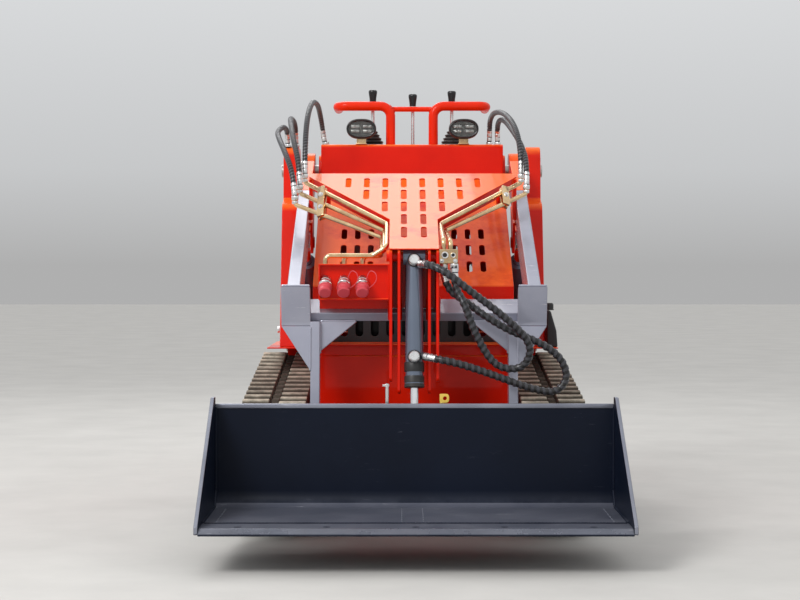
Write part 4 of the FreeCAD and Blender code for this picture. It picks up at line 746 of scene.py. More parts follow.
def sleeveOn(name, frames, radius):  # crimped sleeve with its nut at the hose's end
    count = int((hoseShape["sleeveLength"] + hoseShape["nutLength"]) / hoseShape["step"])
    nut = int(hoseShape["nutLength"] / hoseShape["step"])
    shares = [hoseShape["nutShare"] if i < nut
              else hoseShape["crimpShare"] if (i - nut) % hoseShape["crimpEvery"] in hoseShape["crimps"]
              else hoseShape["sleeveShare"] for i in range(count)]
    return sweptTube(name, frames[:count], [radius * share for share in shares], hoseShape["sleeveSides"])


def buildHose(name, info):
    radius = info["across"] / 2 - hoseShape["wall"]
    route = routeOf(info["points"])
    frames, length = framesAlong(route, hoseShape["step"])
    thin = frames[::4] + ([frames[-1]] if (len(frames) - 1) % 4 else [])
    tube = sweptTube(name, thin, [radius] * len(thin), hoseShape["sides"])
    guard = guardBand(name + "Guard", frames, length, radius, info["pitch"])
    sleeves = [sleeveOn(name + "SleeveA", frames, radius), sleeveOn(name + "SleeveB", frames[::-1], radius)]
    looks = ["hose_rubber", info["guard"], "coupler_steel", "coupler_steel"]
    for piece, finishName in zip([tube, guard] + sleeves, looks):
        piece.data.materials.append(finish[finishName])
        smoothShade(piece)
        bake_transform(piece)
    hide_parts(info["node"])
    print(name, "length", round(length, 3))


for hoseName, hoseInfo in hoses.items():
    buildHose(hoseName, hoseInfo)


# Small parts are kept in groups, and each group becomes one piece per finish and body

groups = {}
groupFinish = {  # the other groups are of coupler_steel
    "black_plastic": "barrelRings blockHoles treadBars lampShells leverBellows dashBezel dashMarks doorLatch "
                     "fuelCap",
    "black_paint": "driveHubs wheelHubs", "cap_red": "couplerCaps capStraps dashButton",
    "knob_plastic": "lampRims leverKnobs", "gauge_white": "lampGlow dashDial", "lamp_grey": "lampFloors",
    "lamp_lens": "lampLenses", "plated_steel": "pipeClamps lampFeet", "red_paint": "clampFeet",
    "bucket_edge": "bucketRim", "tag_yellow": "dashCollar"}
groupBody = {  # the other groups belong to the chassis
    "loader_arm": "pipeUnions blockNuts blockSockets blockHoles blockBolts pipeClamps clampFeet "
                  "couplerBodies couplerCaps capStraps",
    "tilt_barrel": "barrelFittings barrelRings", "bucket": "bucketRim", "platform": "treadBars treadBolts"}
bead = {"step": 0.0022, "wave": 4, "depth": 0.16, "uneven": 0.06, "endShare": 0.4, "sides": 8}
boltHead = {"depth": 0.8, "middle": 0.58, "edge": 0.09,
            "washer": [(0, 0), (1.38, 0), (1.38, 0.13), (1.3, 0.2), (0, 0.2)]}


def entryFor(table, group, usual):
    return next((entry for entry, names in table.items() if group in names.split()), usual)


def keepPiece(group, piece, finishName=None, body=None):
    finishName = finishName or entryFor(groupFinish, group, "coupler_steel")
    body = body or entryFor(groupBody, group, "chassis")
    piece.data.materials.clear()
    piece.data.materials.append(finish[finishName])
    groups.setdefault((group, finishName, body), []).append(piece)


def turned(group, profile, place, toward, steps=28):
    piece = spunPiece(group, profile, steps)
    piece.data.transform(facingMatrix(place, toward))
    keepPiece(group, piece)


def scaled(profile, radius):  # a profile whose radii are given as shares of one radius
    return [(share * radius, height) for share, height in profile]


def eased(group, low, high, edge):
    keepPiece(group, blockPiece(group, low, high, edge))


def leaningBlock(group, centre, along, up, size, edge):
    piece = blockPiece(group, [-v / 2 for v in size], [v / 2 for v in size], edge)
    x = Vector(along).normalized()
    z = Vector(up)
    z = (z - x * z.dot(x)).normalized()
    turn = Matrix((x, z.cross(x), z)).transposed().to_4x4()
    piece.data.transform(Matrix.Translation(Vector(centre)) @ turn)
    keepPiece(group, piece)


def rod(group, points, radius, sides, step):
    frames = framesAlong([Vector(p) for p in points], step)[0]
    keepPiece(group, sweptTube(group, frames, [radius] * len(frames), sides))


def weld(finishName, body, points, radius):  # a rippled bead laid along a seam
    frames = framesAlong([Vector(p) for p in points], bead["step"])[0]
    radii = []
    for k in range(len(frames)):
        ripple = bead["depth"] * (k % bead["wave"]) / bead["wave"]
        radii.append(radius * (1 - ripple - random.uniform(0, bead["uneven"])))
    radii[0] = radii[-1] = radius * bead["endShare"]
    keepPiece("welds", sweptTube("welds", frames, radii, bead["sides"]), finishName, body)


def hexagon(radius, depth, height=0.0):
    bpy.ops.mesh.primitive_cylinder_add(vertices=6, radius=radius, depth=depth, location=(0, 0, height))
    piece = bpy.context.object
    restInMesh(piece)
    softEdges(piece, radius * boltHead["edge"])
    return piece


def buildBolt():  # hexagon head on its washer, the corners one unit from the middle
    head = hexagon(1, boltHead["depth"], boltHead["middle"])
    washer = spunPiece("washer", boltHead["washer"], steps=20)
    master = joinAll("boltMaster", [head, washer])
    mesh = master.data.copy()
    bpy.data.objects.remove(master)
    return mesh


boltMesh = buildBolt()


def bolt(group, radius, place, toward):
    piece = newObject(group, boltMesh.copy())
    piece.data.transform(facingMatrix(place, toward) @ Matrix.Scale(radius, 4))
    keepPiece(group, piece, "coupler_steel")


def boltRing(group, radius, centre, reach, count, side, start=0.0):
    for k in range(count):
        turn = start + 2 * math.pi * k / count
        place = (centre[0], centre[1] + reach * math.cos(turn), centre[2] + reach * math.sin(turn))
        bolt(group, radius, place, (side, 0, 0))


# Tilt cylinder: banjo fittings on its front, the black gland and its clamp

tiltBarrel = {
    "pin": (0, -0.455, 0.763), "way": (0, -0.165, -0.986), "front": 0.023, "fittings": (0.0152, 0.2748),
    "banjo": [(0, -0.003), (0.0152, -0.003), (0.0152, 0.003), (0.0136, 0.0042), (0.0136, 0.0075),
              (0.0142, 0.0085), (0.0142, 0.0155), (0.0136, 0.0168), (0.0124, 0.0168), (0.0124, 0.0215),
              (0.0114, 0.0226), (0, 0.0226)],
    "seal": [(0, -0.004), (0.0185, -0.004), (0.0185, 0.0022), (0.0172, 0.0032), (0, 0.0032)],
    "clamp": (0.3, [(0.0225, -0.013), (0.0262, -0.0125), (0.0268, -0.011), (0.0268, 0.011), (0.0262, 0.0125),
                      (0.0225, 0.013)]),
    "gland": (0.3235, [(0.02, 0), (0.0264, 0.0005), (0.0268, 0.002), (0.0268, 0.018), (0.0256, 0.0192),
                       (0.0256, 0.0208), (0.0268, 0.022), (0.0268, 0.0295), (0.025, 0.0315), (0.015, 0.0318),
                       (0.0118, 0.0318)]),
}


def fitBarrel():
    pin = Vector(tiltBarrel["pin"])
    way = Vector(tiltBarrel["way"]).normalized()
    front = Vector((0, way.z, -way.y))
    for share in tiltBarrel["fittings"]:
        foot = pin + way * share + front * tiltBarrel["front"]
        turned("barrelFittings", tiltBarrel["banjo"], foot, front)
        turned("barrelRings", tiltBarrel["seal"], foot, front)
    for share, profile in (tiltBarrel["clamp"], tiltBarrel["gland"]):
        turned("barrelRings", profile, pin + way * share, way, steps=40)


fitBarrel()

# Unions: nuts where hoses meet pipes, the console, the towers and the hose block

unions = {  # each nut: its rise above the place, its radius and its depth
    "pipes": [(0.315, -0.016, 0.994), (-0.315, -0.016, 0.994), (0.328, -0.046, 0.961),
              (-0.328, -0.046, 0.961), (-0.341, -0.076, 0.928)],
    "pipeNuts": [(0.004, 0.0112, 0.013), (-0.009, 0.0098, 0.009)],
    "bulkheads": [(-0.274, 0.48, 1.12), (0.246, 0.48, 1.12), (0.272, 0.48, 1.12), (-0.368, 0.478, 1.114),
                  (-0.394, 0.48, 1.114)],
    "bulkheadNut": (0.0045, 0.0122, 0.009), "washer": [(0, 0), (0.0135, 0), (0.0135, 0.0012), (0, 0.0014)],
    "block": [(0.106, -0.486, 0.743), (0.079, -0.478, 0.743)], "blockNut": (-0.006, 0.0122, 0.012),
}
upward = (0, 0, 1)


def hexNut(group, place, rise, radius, depth):
    piece = hexagon(radius, depth)
    piece.data.transform(facingMatrix((place[0], place[1], place[2] + rise), upward))
    keepPiece(group, piece)


def fitUnions():
    for place in unions["pipes"]:
        for nut in unions["pipeNuts"]:
            hexNut("pipeUnions", place, *nut)
    for place in unions["bulkheads"]:
        hexNut("bulkheadNuts", place, *unions["bulkheadNut"])
        turned("bulkheadNuts", unions["washer"], place, upward, steps=20)
    for place in unions["block"]:
        hexNut("blockNuts", place, *unions["blockNut"])


fitUnions()

# Hose block: two sockets and its bolts

block = {"front": -0.497, "sockets": [(0.0815, 0.7655, 0.0075), (0.1035, 0.7655, 0.0055)],
         "socket": [(0.78, 0.0004), (0.8, 0.0026), (1.1, 0.003), (1.25, 0.002), (1.28, 0)],
         "hole": [(0, 0.0009), (0.8, 0.0009), (0.8, 0)], "bolts": [(0.074, 0.75), (0.109, 0.75)],
         "boltRadius": 0.0042}


def fitHoseBlock():
    for x, z, radius in block["sockets"]:
        # each socket gets a black disc in its middle: painted shade standing in for the dark of the open port
        for group, profile in (("blockSockets", block["socket"]), ("blockHoles", block["hole"])):
            turned(group, scaled(profile, radius), (x, block["front"], z), (0, -1, 0), steps=24)
    for x, z in block["bolts"]:
        bolt("blockBolts", block["boltRadius"], (x, block["front"], z), (0, -1, 0))


fitHoseBlock()

# Pipe clamps: two bars round the pipes, bolted together, and a foot, one clamp on each side

clamps = {"left": [(-0.261, -0.0758, 0.9515), (-0.261, -0.137, 0.8827)], "leftBolts": (0.24, 0.76),
          "right": [(0.262, -0.075, 0.952), (0.262, -0.1075, 0.9168)], "rightBolts": (0.5,),
          "pipeWay": (0.631, -0.699, -0.333), "width": 0.022, "thick": 0.009, "spare": 0.012, "lift": 0.0065,
          "edge": 0.0016, "boltRadius": 0.0055, "boltLift": 0.011, "footShare": 0.1, "footDrop": 0.022,
          "footSize": (0.04, 0.018, 0.026), "footEdge": 0.0015}


def fitClamp(side, ends, boltShares):
    a, b = (Vector(end) for end in ends)
    way = Vector(clamps["pipeWay"])
    way.x *= -side
    along = (b - a).normalized()
    normal = along.cross(way).normalized()
    if normal.y > 0:
        normal = -normal
    size = ((b - a).length + 2 * clamps["spare"], clamps["width"], clamps["thick"])
    for lift in (clamps["lift"], -clamps["lift"]):
        leaningBlock("pipeClamps", (a + b) / 2 + normal * lift, along, normal, size, clamps["edge"])
    for share in boltShares:
        bolt("pipeClamps", clamps["boltRadius"], a.lerp(b, share) + normal * clamps["boltLift"], normal)
    foot = a.lerp(b, clamps["footShare"]) - normal * clamps["footDrop"]
    leaningBlock("clampFeet", foot, along, normal, clamps["footSize"], clamps["footEdge"])


fitClamp(-1, clamps["left"], clamps["leftBolts"])
fitClamp(1, clamps["right"], clamps["rightBolts"])

# Quick couplers: they point down and forwards, each with a red dust cap, two of the caps on straps

couplers = {
    "across": (-0.1385, -0.1885, -0.2385), "place": (-0.4455, 0.7), "way": (0, -0.8, -0.6),
    "body": [(0, 0), (0.015, 0), (0.015, 0.01), (0.0128, 0.0115), (0.0128, 0.016), (0.0165, 0.0175),
             (0.0172, 0.019), (0.0172, 0.0235), (0.016, 0.025), (0.016, 0.0275), (0.0172, 0.029),
             (0.0172, 0.0335), (0.016, 0.035), (0.013, 0.036), (0, 0.036)],
    "cap": [(0, 0.034), (0.015, 0.034), (0.0186, 0.035), (0.0192, 0.037), (0.0186, 0.039), (0.0166, 0.04),
            (0.016, 0.052), (0.0172, 0.054), (0.017, 0.0575), (0.014, 0.06), (0, 0.0605)],
    "collar": [(0.0132, 0), (0.0142, 0.0005), (0.0142, 0.003), (0.013, 0.0034)], "collarAt": 0.0125,
    "strapCount": 2, "strapRadius": 0.0011, "strapAt": 0.048, "strapEndAt": 0.018,
    "strap": [(0.014, 0.004, 0.004), (0.03, -0.002, 0.014), (0.04, -0.006, 0.032), (0.034, -0.004, 0.05),
              (0.016, 0.004, 0.054)],
    "strapEnd": (0.01, -0.016, 0.008),
}


def fitStrap(foot, way):
    tip = foot + way * couplers["strapAt"]
    loop = [tip + Vector(bend) for bend in couplers["strap"]]
    loop.append(foot + way * couplers["strapEndAt"] + Vector(couplers["strapEnd"]))
    rod("capStraps", routeOf(loop), couplers["strapRadius"], sides=8, step=0.003)


def buildCouplers():
    way = Vector(couplers["way"]).normalized()
    for k, x in enumerate(couplers["across"]):
        foot = Vector((x, *couplers["place"]))
        turned("couplerBodies", couplers["body"], foot, way, steps=36)
        turned("couplerCaps", couplers["cap"], foot, way, steps=32)
        if k < couplers["strapCount"]:
            fitStrap(foot, way)
        turned("couplerCaps", couplers["collar"], foot + way * couplers["collarAt"], way, steps=24)


buildCouplers()
print("cylinder, pipe and coupler fittings made")


# Console: work lights, boots, levers, gauges

lamps = {
    "places": (-0.16, 0.163), "half": (0.047, 0.0315), "powers": (0.8, 0.92), "middle": 1.1685, "front": 0.43,
    "sides": 56,
    "steps": [(0.013, 0.04), (0.005, 0.038), (0.001, 0.032), (0.0, 0.027), (0.0, 0.006), (0.0012, 0.0015),
              (0.0042, 0.0), (0.0066, 0.0006), (0.0078, 0.0035), (0.0084, 0.012)],
    "floor": (0.0082, 0.0116), "rim": (0.0046, -0.0002), "rimRadius": 0.0012, "glass": (0.007, 0.0024, 0.004),
    "cells": [(-0.019, -0.0075), (-0.019, 0.0075), (0.019, -0.0075), (0.019, 0.0075)],
    "cellHalf": (0.0135, 0.0048), "cellDepths": (0.006, 0.0118), "cellEdge": 0.0022,
    "glow": [(0, 0.0008), (0.003, 0.0006), (0.0034, 0)],
    "fins": 5, "finLow": -0.018, "finStep": 0.009, "finHalf": (0.03, 0.0016), "finDepths": (0.464, 0.476),
    "feet": [((-0.017, 0.44, 1.12), (0.017, 0.466, 1.1235)),
             ((-0.015, 0.447, 1.1225), (0.015, 0.4505, 1.146))],
    "thinEdge": 0.0008, "boltRadius": 0.005, "boltPlace": (0.456, 1.1235),
}


def lampRing(x0, inset, back):  # a stadium, pulled in by the inset
    wide, high = (v - inset for v in lamps["half"])
    powerX, powerZ = lamps["powers"]
    points = []
    for k in range(lamps["sides"]):
        turn = 2 * math.pi * k / lamps["sides"]
        c, s = math.cos(turn), math.sin(turn)
        x = math.copysign(abs(c) ** powerX, c) * wide
        z = math.copysign(abs(s) ** powerZ, s) * high
        points.append((x0 + x, lamps["front"] + back, lamps["middle"] + z))
    return points


def buildLamp(x0):
    count = lamps["sides"]
    frontFace = tuple(range(count))[::-1]
    backFace = tuple(range(count, 2 * count))
    points = [point for inset, back in lamps["steps"] for point in lampRing(x0, inset, back)]
    shell = meshPiece("lampShells", points, ringFaces(len(lamps["steps"]), count) + [frontFace])
    inEditMode(shell, outward)
    keepPiece("lampShells", shell)
    keepPiece("lampFloors", meshPiece("lampFloors", lampRing(x0, *lamps["floor"]), [frontFace]))
    rim = lampRing(x0, *lamps["rim"])
    rod("lampRims", rim + [rim[0]], lamps["rimRadius"], sides=8, step=0.003)
    wide, high = lamps["cellHalf"]
    near, far = (lamps["front"] + depth for depth in lamps["cellDepths"])
    for x, z in lamps["cells"]:
        x, z = x0 + x, lamps["middle"] + z
        eased("lampCells", (x - wide, near, z - high), (x + wide, far, z + high), lamps["cellEdge"])
        turned("lampGlow", lamps["glow"], (x, near, z), (0, -1, 0), steps=16)
    inset, near, far = lamps["glass"]
    glass = lampRing(x0, inset, near) + lampRing(x0, inset, far)
    keepPiece("lampLenses", meshPiece("lampLenses", glass, [frontFace, backFace] + ringFaces(2, count)))
    wide, high = lamps["finHalf"]
    near, far = lamps["finDepths"]
    for k in range(lamps["fins"]):  # cooling fins behind
        z = lamps["middle"] + lamps["finLow"] + lamps["finStep"] * k
        eased("lampShells", (x0 - wide, near, z - high), (x0 + wide, far, z + high), lamps["thinEdge"])
    for low, high in lamps["feet"]:
        eased("lampFeet", (x0 + low[0], *low[1:]), (x0 + high[0], *high[1:]), lamps["thinEdge"])
    bolt("lampFeet", lamps["boltRadius"], (x0, *lamps["boltPlace"]), upward)


for lampX in lamps["places"]:
    buildLamp(lampX)

levers = {
    "places": [(-0.125, 1.301), (0.003, 1.288), (0.128, 1.298)], "y": 0.55, "top": 1.12,
    "boots": (-0.125, 0.128),
    "knob": [(0, 0), (0.0088, 0), (0.01, 0.0012), (0.0104, 0.006), (0.0112, 0.014), (0.0128, 0.0248),
             (0.0138, 0.032), (0.0136, 0.036), (0.0118, 0.0386), (0.007, 0.0398), (0, 0.04)],
    "stem": 0.0058, "collar": 0.0085, "collarRises": (-0.013, -0.012, 0.0005),
    "folds": 5, "foldInward": 0.0058, "foldUp": 0.0105, "bootFoot": (0.0398, 0), "firstFold": 0.0395,
    "fold": [(0.001, 0.001), (0, 0.003), (0.001, 0.0052), (0.0062, 0.0075), (0.0085, 0.01)],
    "neck": [(0.0088, 0.0535), (0.0082, 0.06), (0.0062, 0.0606)],
    "ring": [(0, 0.006), (0.012, 0.006), (0.016, 0.004), (0.017, 0)],
}


def buildLevers():
    y, base = levers["y"], levers["top"]
    stem, collar = levers["stem"], levers["collar"]
    for x, top in levers["places"]:
        foot = top - levers["knob"][-1][1]
        low, middle, high = (foot - base + rise for rise in levers["collarRises"])
        turned("leverKnobs", levers["knob"], (x, y, foot), upward, steps=32)
        shaft = [(0, 0), (stem, 0), (stem, low), (collar, middle), (collar, high), (0, high)]
        turned("leverShafts", shaft, (x, y, base), upward, steps=20)
    bellows = [levers["bootFoot"]]
    for i in range(levers["folds"]):
        wide = levers["firstFold"] - levers["foldInward"] * i
        bellows += [(wide - inward, levers["foldUp"] * i + rise) for inward, rise in levers["fold"]]
    for x in levers["boots"]:
        turned("leverBellows", bellows + levers["neck"], (x, y, base), upward, steps=40)
    turned("leverBellows", levers["ring"], (levers["places"][1][0], y, base), upward)


buildLevers()

dash = {
    "y": 0.64, "gauge": (0.0, 1.052), "radius": 0.03, "key": (0.105, 1.05), "button": (-0.11, 1.052),
    "bezel": [(0.004, 0), (0.004, 0.004), (0.001, 0.0062), (-0.001, 0.006), (-0.0018, 0.003), (-0.002, 0)],
    "dialRise": 0.0015, "dialInset": 0.0015, "marks": 11, "firstMark": -130, "markTurn": 26, "longEvery": 5,
    "longMark": (0.007, 0.0012, 0.0008), "shortMark": (0.0045, 0.0012, 0.0008), "markEdge": 0.0002,
    "markInset": 0.007, "markRise": 0.0018,
    "handTurn": -0.7, "handSize": (0.026, 0.0016, 0.0008), "handEdge": 0.0003, "handRise": 0.0026,
    "handAlong": 0.008,
    "hub": [(0, 0.0045), (0.003, 0.0042), (0.0034, 0)],
    "switch": [(0, 0.006), (0.0085, 0.006), (0.0105, 0.005), (0.0125, 0.002), (0.014, 0)],
    "keyLow": (-0.0014, 0.005, -0.009), "keyHigh": (0.0014, 0.026, 0.009), "keyEdge": 0.0006,
    "collar": [(0, 0.004), (0.021, 0.004), (0.022, 0.003), (0.022, 0)],
    "cap": [(0.009, 0.003), (0.009, 0.012), (0.0165, 0.013), (0.0175, 0.0155), (0.0165, 0.019),
            (0.01, 0.0215), (0, 0.0222)],
    "bolts": [(-0.262, 0.999), (-0.262, 1.098), (0.262, 0.999), (0.262, 1.098)], "boltRadius": 0.006,
}


def onDash(group, profile, spot, steps=28):
    turned(group, profile, (spot[0], dash["y"], spot[1]), (0, 1, 0), steps)


def dialMark(turn, rise, along, size, edge):
    way = Vector((math.sin(turn), 0, math.cos(turn)))
    middle = Vector((dash["gauge"][0], dash["y"] + rise, dash["gauge"][1]))
    leaningBlock("dashMarks", middle + way * along, way, (0, 1, 0), size, edge)


def buildDashboard():  # what the operator reads and turns, on the console's back
    r = dash["radius"]
    onDash("dashBezel", [(r + out, rise) for out, rise in dash["bezel"]], dash["gauge"], steps=48)
    dial = [(0, dash["dialRise"]), (r - dash["dialInset"], dash["dialRise"])]
    onDash("dashDial", dial, dash["gauge"], steps=48)
    for k in range(dash["marks"]):
        turn = math.radians(dash["firstMark"] + dash["markTurn"] * k)
        size = dash["shortMark"] if k % dash["longEvery"] else dash["longMark"]
        dialMark(turn, dash["markRise"], r - dash["markInset"], size, dash["markEdge"])
    dialMark(dash["handTurn"], dash["handRise"], dash["handAlong"], dash["handSize"], dash["handEdge"])
    onDash("dashMarks", dash["hub"], dash["gauge"], steps=16)
    onDash("dashSwitch", dash["switch"], dash["key"])
    lock = (dash["key"][0], dash["y"], dash["key"][1])
    low, high = ([a + b for a, b in zip(lock, corner)] for corner in (dash["keyLow"], dash["keyHigh"]))
    eased("dashSwitch", low, high, dash["keyEdge"])
    onDash("dashCollar", dash["collar"], dash["button"])
    onDash("dashButton", dash["cap"], dash["button"], steps=36)
    for x, z in dash["bolts"]:
        bolt("consoleBolts", dash["boltRadius"], (x, dash["y"], z), (0, 1, 0))


buildDashboard()
print("console fittings made")


# Welds, bolts and hub caps

def legFront(z, out=0.0):  # how far forward the legs' front face is at a height
    return -0.491 + (z - 0.205) * 0.1496 + out


seams = {  # finish, body: the beads' radii and their points on the right, each laid on both sides
    ("grey_paint", "loader_arm"): [
        (0.0036, (0.28, -0.4565, 0.6835), (0.357, -0.4565, 0.6835)),
        (0.0034, (0.3425, -0.45, 0.6785), (0.3425, -0.41, 0.59)),
        (0.0032, (0.2795, legFront(0.455), 0.455), (0.2795, legFront(0.572), 0.572)),
        (0.0036, (0.2535, legFront(0.5, 0.014), 0.5), (0.2535, legFront(0.584, 0.014), 0.584)),
        (0.0034, (0.157, -0.415, 0.5872), (0.254, -0.415, 0.5872)),
        (0.0034, (0.306, -0.4105, 0.5885), (0.306, -0.4405, 0.654))],
    ("red_paint", "loader_arm"): [
        (0.0034, (0.068, -0.4105, 0.59), (0.068, -0.4415, 0.654)),
        (0.003, (0.035, -0.4105, 0.59), (0.035, -0.4415, 0.654)),
        (0.003, (0.3065, 0.07, 0.839), (0.3065, 0.19, 0.887))],
    ("red_paint", "chassis"): [(0.0034, (0.288, 0.455, 0.983), (0.288, 0.545, 0.983))],
    ("bucket_paint", "bucket"): [
        (0.0042, (0.519, -0.936, 0.1115), (0.519, -0.645, 0.1115), (0.519, -0.606, 0.15),
         (0.519, -0.6045, 0.37)),
        (0.0028, (0, -0.94, 0.1108), (0.515, -0.94, 0.1108)),
        (0.004, (0.26, -0.5945, 0.15), (0.26, -0.5945, 0.33)),
        (0.004, (0.04, -0.5945, 0.3565), (0.23, -0.5945, 0.3565)),
        (0.0036, (0.2253, -0.582, 0.17), (0.2253, -0.582, 0.245)),
        (0.0036, (0.0345, -0.582, 0.315), (0.0345, -0.582, 0.352))],
    ("bucket_edge", "bucket"): [
        (0.0021, (0.487, y, 0.1102), (0.487, y + 0.03, 0.1102))
        for y in (-0.925, -0.88, -0.835, -0.79, -0.745, -0.7)],
}
dashes = {"across": (-0.033, 0.02), "count": 7, "first": -0.925, "step": 0.04, "long": 0.026,
          "height": 0.1102, "radius": 0.0016}
rim = {"low": (-0.5195, -0.6072, 0.3655), "high": (0.5195, -0.5952, 0.3775), "edge": 0.0022}


def weldFrame():
    for (finishName, body), beads in seams.items():
        for radius, *points in beads:
            for side in (1, -1):
                weld(finishName, body, [(side * x, y, z) for x, y, z in points], radius)
    for x in dashes["across"]:
        for k in range(dashes["count"]):
            y = dashes["first"] + dashes["step"] * k
            ends = [(x, y, dashes["height"]), (x, y + dashes["long"], dashes["height"])]
            weld("bucket_edge", "bucket", ends, dashes["radius"])
    # a strip along the top of the bucket's back in the rim finish: partly wear, partly a painted highlight
    eased("bucketRim", rim["low"], rim["high"], rim["edge"])


weldFrame()

bolts = {
    "covers": [(0.196, 0.0065), (0.46, 0.0065)], "cover": (0.27, -0.274),
    "tower": 0.406, "towers": [(0.5, 0.755), (0.3, 0.54), (0.6, 0.54), (0.68, 0.56)], "towerRadius": 0.01,
    "keeperPlane": 0.4085, "keeperBolt": 0.411, "keeperEdge": 0.0012,
    "keepers": [((0.528, 1.066), (0, 1, -1), (0.06, 0.018, 0.005), 0.007, (0.543, 1.051)),
                ((0.69, 0.502), (0, 1, 0), (0.05, 0.016, 0.005), 0.0062, (0.706, 0.502))],
    "drive": (0.444, 0.56, 0.282), "driveRing": (0.007, 0.036, 8),
    "driveHub": [(0, 0.006), (0.017, 0.006), (0.02, 0.0045), (0.022, 0)],
    "wheelPlane": 0.4405, "wheelBolt": 0.456, "wheelBoltShare": 0.26,
    "wheels": [(-0.3, 0.181, 0.034), (0.43, 0.12, 0.024), (-0.11, 0.1013, 0.02), (0.018, 0.1013, 0.02),
               (0.146, 0.1013, 0.02), (0.274, 0.1013, 0.02)],
    "wheelHub": [(0, 0.016), (0.62, 0.016), (0.8, 0.013), (0.86, 0.005), (1, 0.003), (1, 0)],
    "idler": (-0.3, 0.181), "idlerRing": (0.0055, 0.048, 6), "idlerStart": 0.3,
}


def boltSide(side):
    facing = (side, 0, 0)
    for z, radius in bolts["covers"]:
        bolt("coverBolts", radius, (side * bolts["cover"][0], bolts["cover"][1], z), (0, -1, 0))
    for place in bolts["towers"]:
        bolt("towerBolts", bolts["towerRadius"], (side * bolts["tower"], *place), facing)
    for place, along, size, radius, boltPlace in bolts["keepers"]:
        centre = (side * bolts["keeperPlane"], *place)
        leaningBlock("pinKeepers", centre, along, facing, size, bolts["keeperEdge"])
        bolt("pinKeepers", radius, (side * bolts["keeperBolt"], *boltPlace), facing)
    drive = (side * bolts["drive"][0], *bolts["drive"][1:])
    radius, reach, count = bolts["driveRing"]
    boltRing("driveBolts", radius, drive, reach, count, side)
    turned("driveHubs", bolts["driveHub"], drive, facing)
    for y, z, radius in bolts["wheels"]:
        turned("wheelHubs", scaled(bolts["wheelHub"], radius), (side * bolts["wheelPlane"], y, z), facing)
        bolt("wheelBolts", radius * bolts["wheelBoltShare"], (side * bolts["wheelBolt"], y, z), facing)
    radius, reach, count = bolts["idlerRing"]
    idler = (side * bolts["wheelPlane"], *bolts["idler"])
    boltRing("wheelBolts", radius, idler, reach, count, side, bolts["idlerStart"])


boltSide(1)
boltSide(-1)

# Rear door: its bolts, latch and hinges, and the platform's tread bars

rearDoor = {
    "foot": (0.7, 0.5196), "head": (0.64, 0.978), "out": (0, 0.992, 0.13),
    "boltsAcross": (-0.262, 0.262), "boltShares": (0.06, 0.94), "boltRadius": 0.0062,
    "boltOut": (0, 0.0015, 0),
    "hingeShares": (0.1, 0.9), "leafX": -0.272, "leafOut": 0.004, "leafSize": (0.07, 0.03, 0.004),
    "leafEdge": 0.0012, "barrelX": -0.284, "barrelOut": 0.007, "barrelHalf": 0.075, "barrelRadius": 0.0055,
    "latchX": 0.225, "latchShare": 0.5,
    "latch": [(0, 0.01), (0.02, 0.01), (0.026, 0.008), (0.03, 0.003), (0.031, 0)],
    "handleOut": 0.014, "handleWay": (1, 0, 0.3), "handleSize": (0.046, 0.011, 0.012), "handleEdge": 0.003,
}
tread = {"bars": 9, "first": 0.806, "step": 0.0285, "half": (0.205, 0.006), "heights": (0.1895, 0.1925),
         "edge": 0.0012, "bolts": [(-0.216, 0.806), (-0.216, 1.034), (0.216, 0.806), (0.216, 1.034)],
         "boltHeight": 0.19, "boltRadius": 0.006}
fuelCap = {"place": (0.4225, 0.305, 0.6),
           "profile": [(0, 0.022), (0.01, 0.022), (0.0128, 0.019), (0.0135, 0.016), (0.0135, 0.003),
                       (0.015, 0.002), (0.015, 0)]}


def rearPlace(x, share, off=0.0):
    low, high = Vector((x, *rearDoor["foot"])), Vector((x, *rearDoor["head"]))
    return low.lerp(high, share) + Vector(rearDoor["out"]) * off


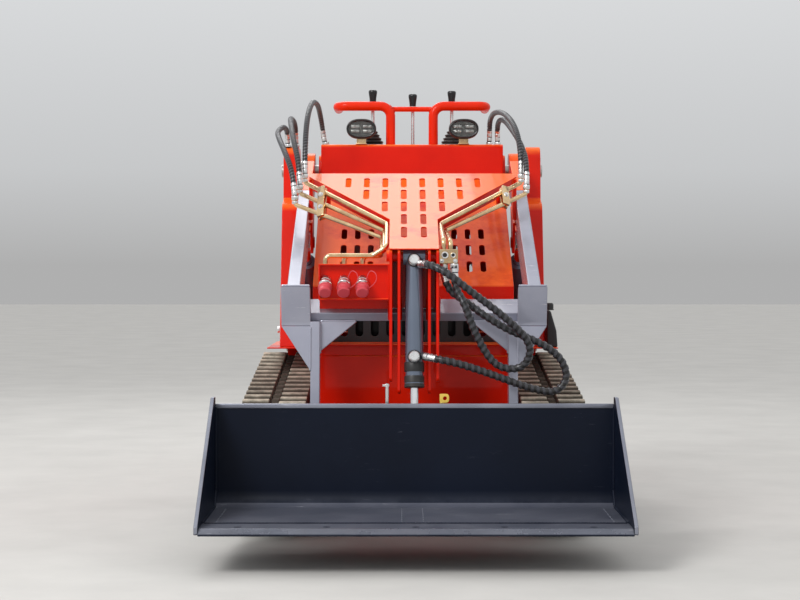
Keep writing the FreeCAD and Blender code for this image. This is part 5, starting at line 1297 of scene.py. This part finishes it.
def dressRear():
    out = rearDoor["out"]
    for x in rearDoor["boltsAcross"]:
        for share in rearDoor["boltShares"]:
            place = rearPlace(x, share) + Vector(rearDoor["boltOut"])
            bolt("rearBolts", rearDoor["boltRadius"], place, out)
    up = rearPlace(0, 1) - rearPlace(0, 0)
    for share in rearDoor["hingeShares"]:
        leaf = rearPlace(rearDoor["leafX"], share, rearDoor["leafOut"])
        leaningBlock("doorHinges", leaf, up, out, rearDoor["leafSize"], rearDoor["leafEdge"])
        ends = [rearPlace(rearDoor["barrelX"], share + reach, rearDoor["barrelOut"])
                for reach in (-rearDoor["barrelHalf"], rearDoor["barrelHalf"])]
        rod("doorHinges", ends, rearDoor["barrelRadius"], sides=16, step=0.004)
    latchSpot = rearDoor["latchX"], rearDoor["latchShare"]
    turned("doorLatch", rearDoor["latch"], rearPlace(*latchSpot), out, steps=36)
    handle = rearPlace(*latchSpot, rearDoor["handleOut"])
    leaningBlock("doorLatch", handle, rearDoor["handleWay"], out, rearDoor["handleSize"],
                 rearDoor["handleEdge"])


def dressPlatform():
    wide, deep = tread["half"]
    low, high = tread["heights"]
    for k in range(tread["bars"]):
        y = tread["first"] + tread["step"] * k
        eased("treadBars", (-wide, y - deep, low), (wide, y + deep, high), tread["edge"])
    for x, y in tread["bolts"]:
        bolt("treadBolts", tread["boltRadius"], (x, y, tread["boltHeight"]), upward)


dressRear()
dressPlatform()
turned("fuelCap", fuelCap["profile"], fuelCap["place"], upward, steps=24)


def finishGroups():
    for (group, finishName, body), pieces in groups.items():
        tail = "".join(word.capitalize() for word in (finishName + "_" + body).split("_"))
        piece = joinAll(group + tail, pieces)
        smoothShade(piece, 35)
        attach(piece, body)
        made[group + tail] = piece


finishGroups()
for barrelName in ("tilt_barrel", "lift_barrel_left", "lift_barrel_right"):
    made[barrelName].data.materials[0] = finish["barrel_grey"]
for ready, gone in (("lampShellsBlackPlasticChassis", "work_lights"),
                    ("leverKnobsKnobPlasticChassis", "control_levers"),
                    ("leverBellowsBlackPlasticChassis", "lever_boots"),
                    ("couplerBodiesCouplerSteelLoaderArm", "quick_couplers")):
    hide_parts(gone)

# Lock handles: one plated, one with a yellow tab

paintFaces("lock_handles", "coupler_steel", lambda c, n: c.x < 0)
paintFaces("lock_handles", "tag_yellow", lambda c, n: c.x > 0.062 and c.z > 0.372)
print("welds, bolts and rear fittings made")


# What is left of the frame gets its finish

for nodeName, node in nodes.items():
    node.data.materials[0] = finish[slotOf[nodeName]]
print("frame finished")
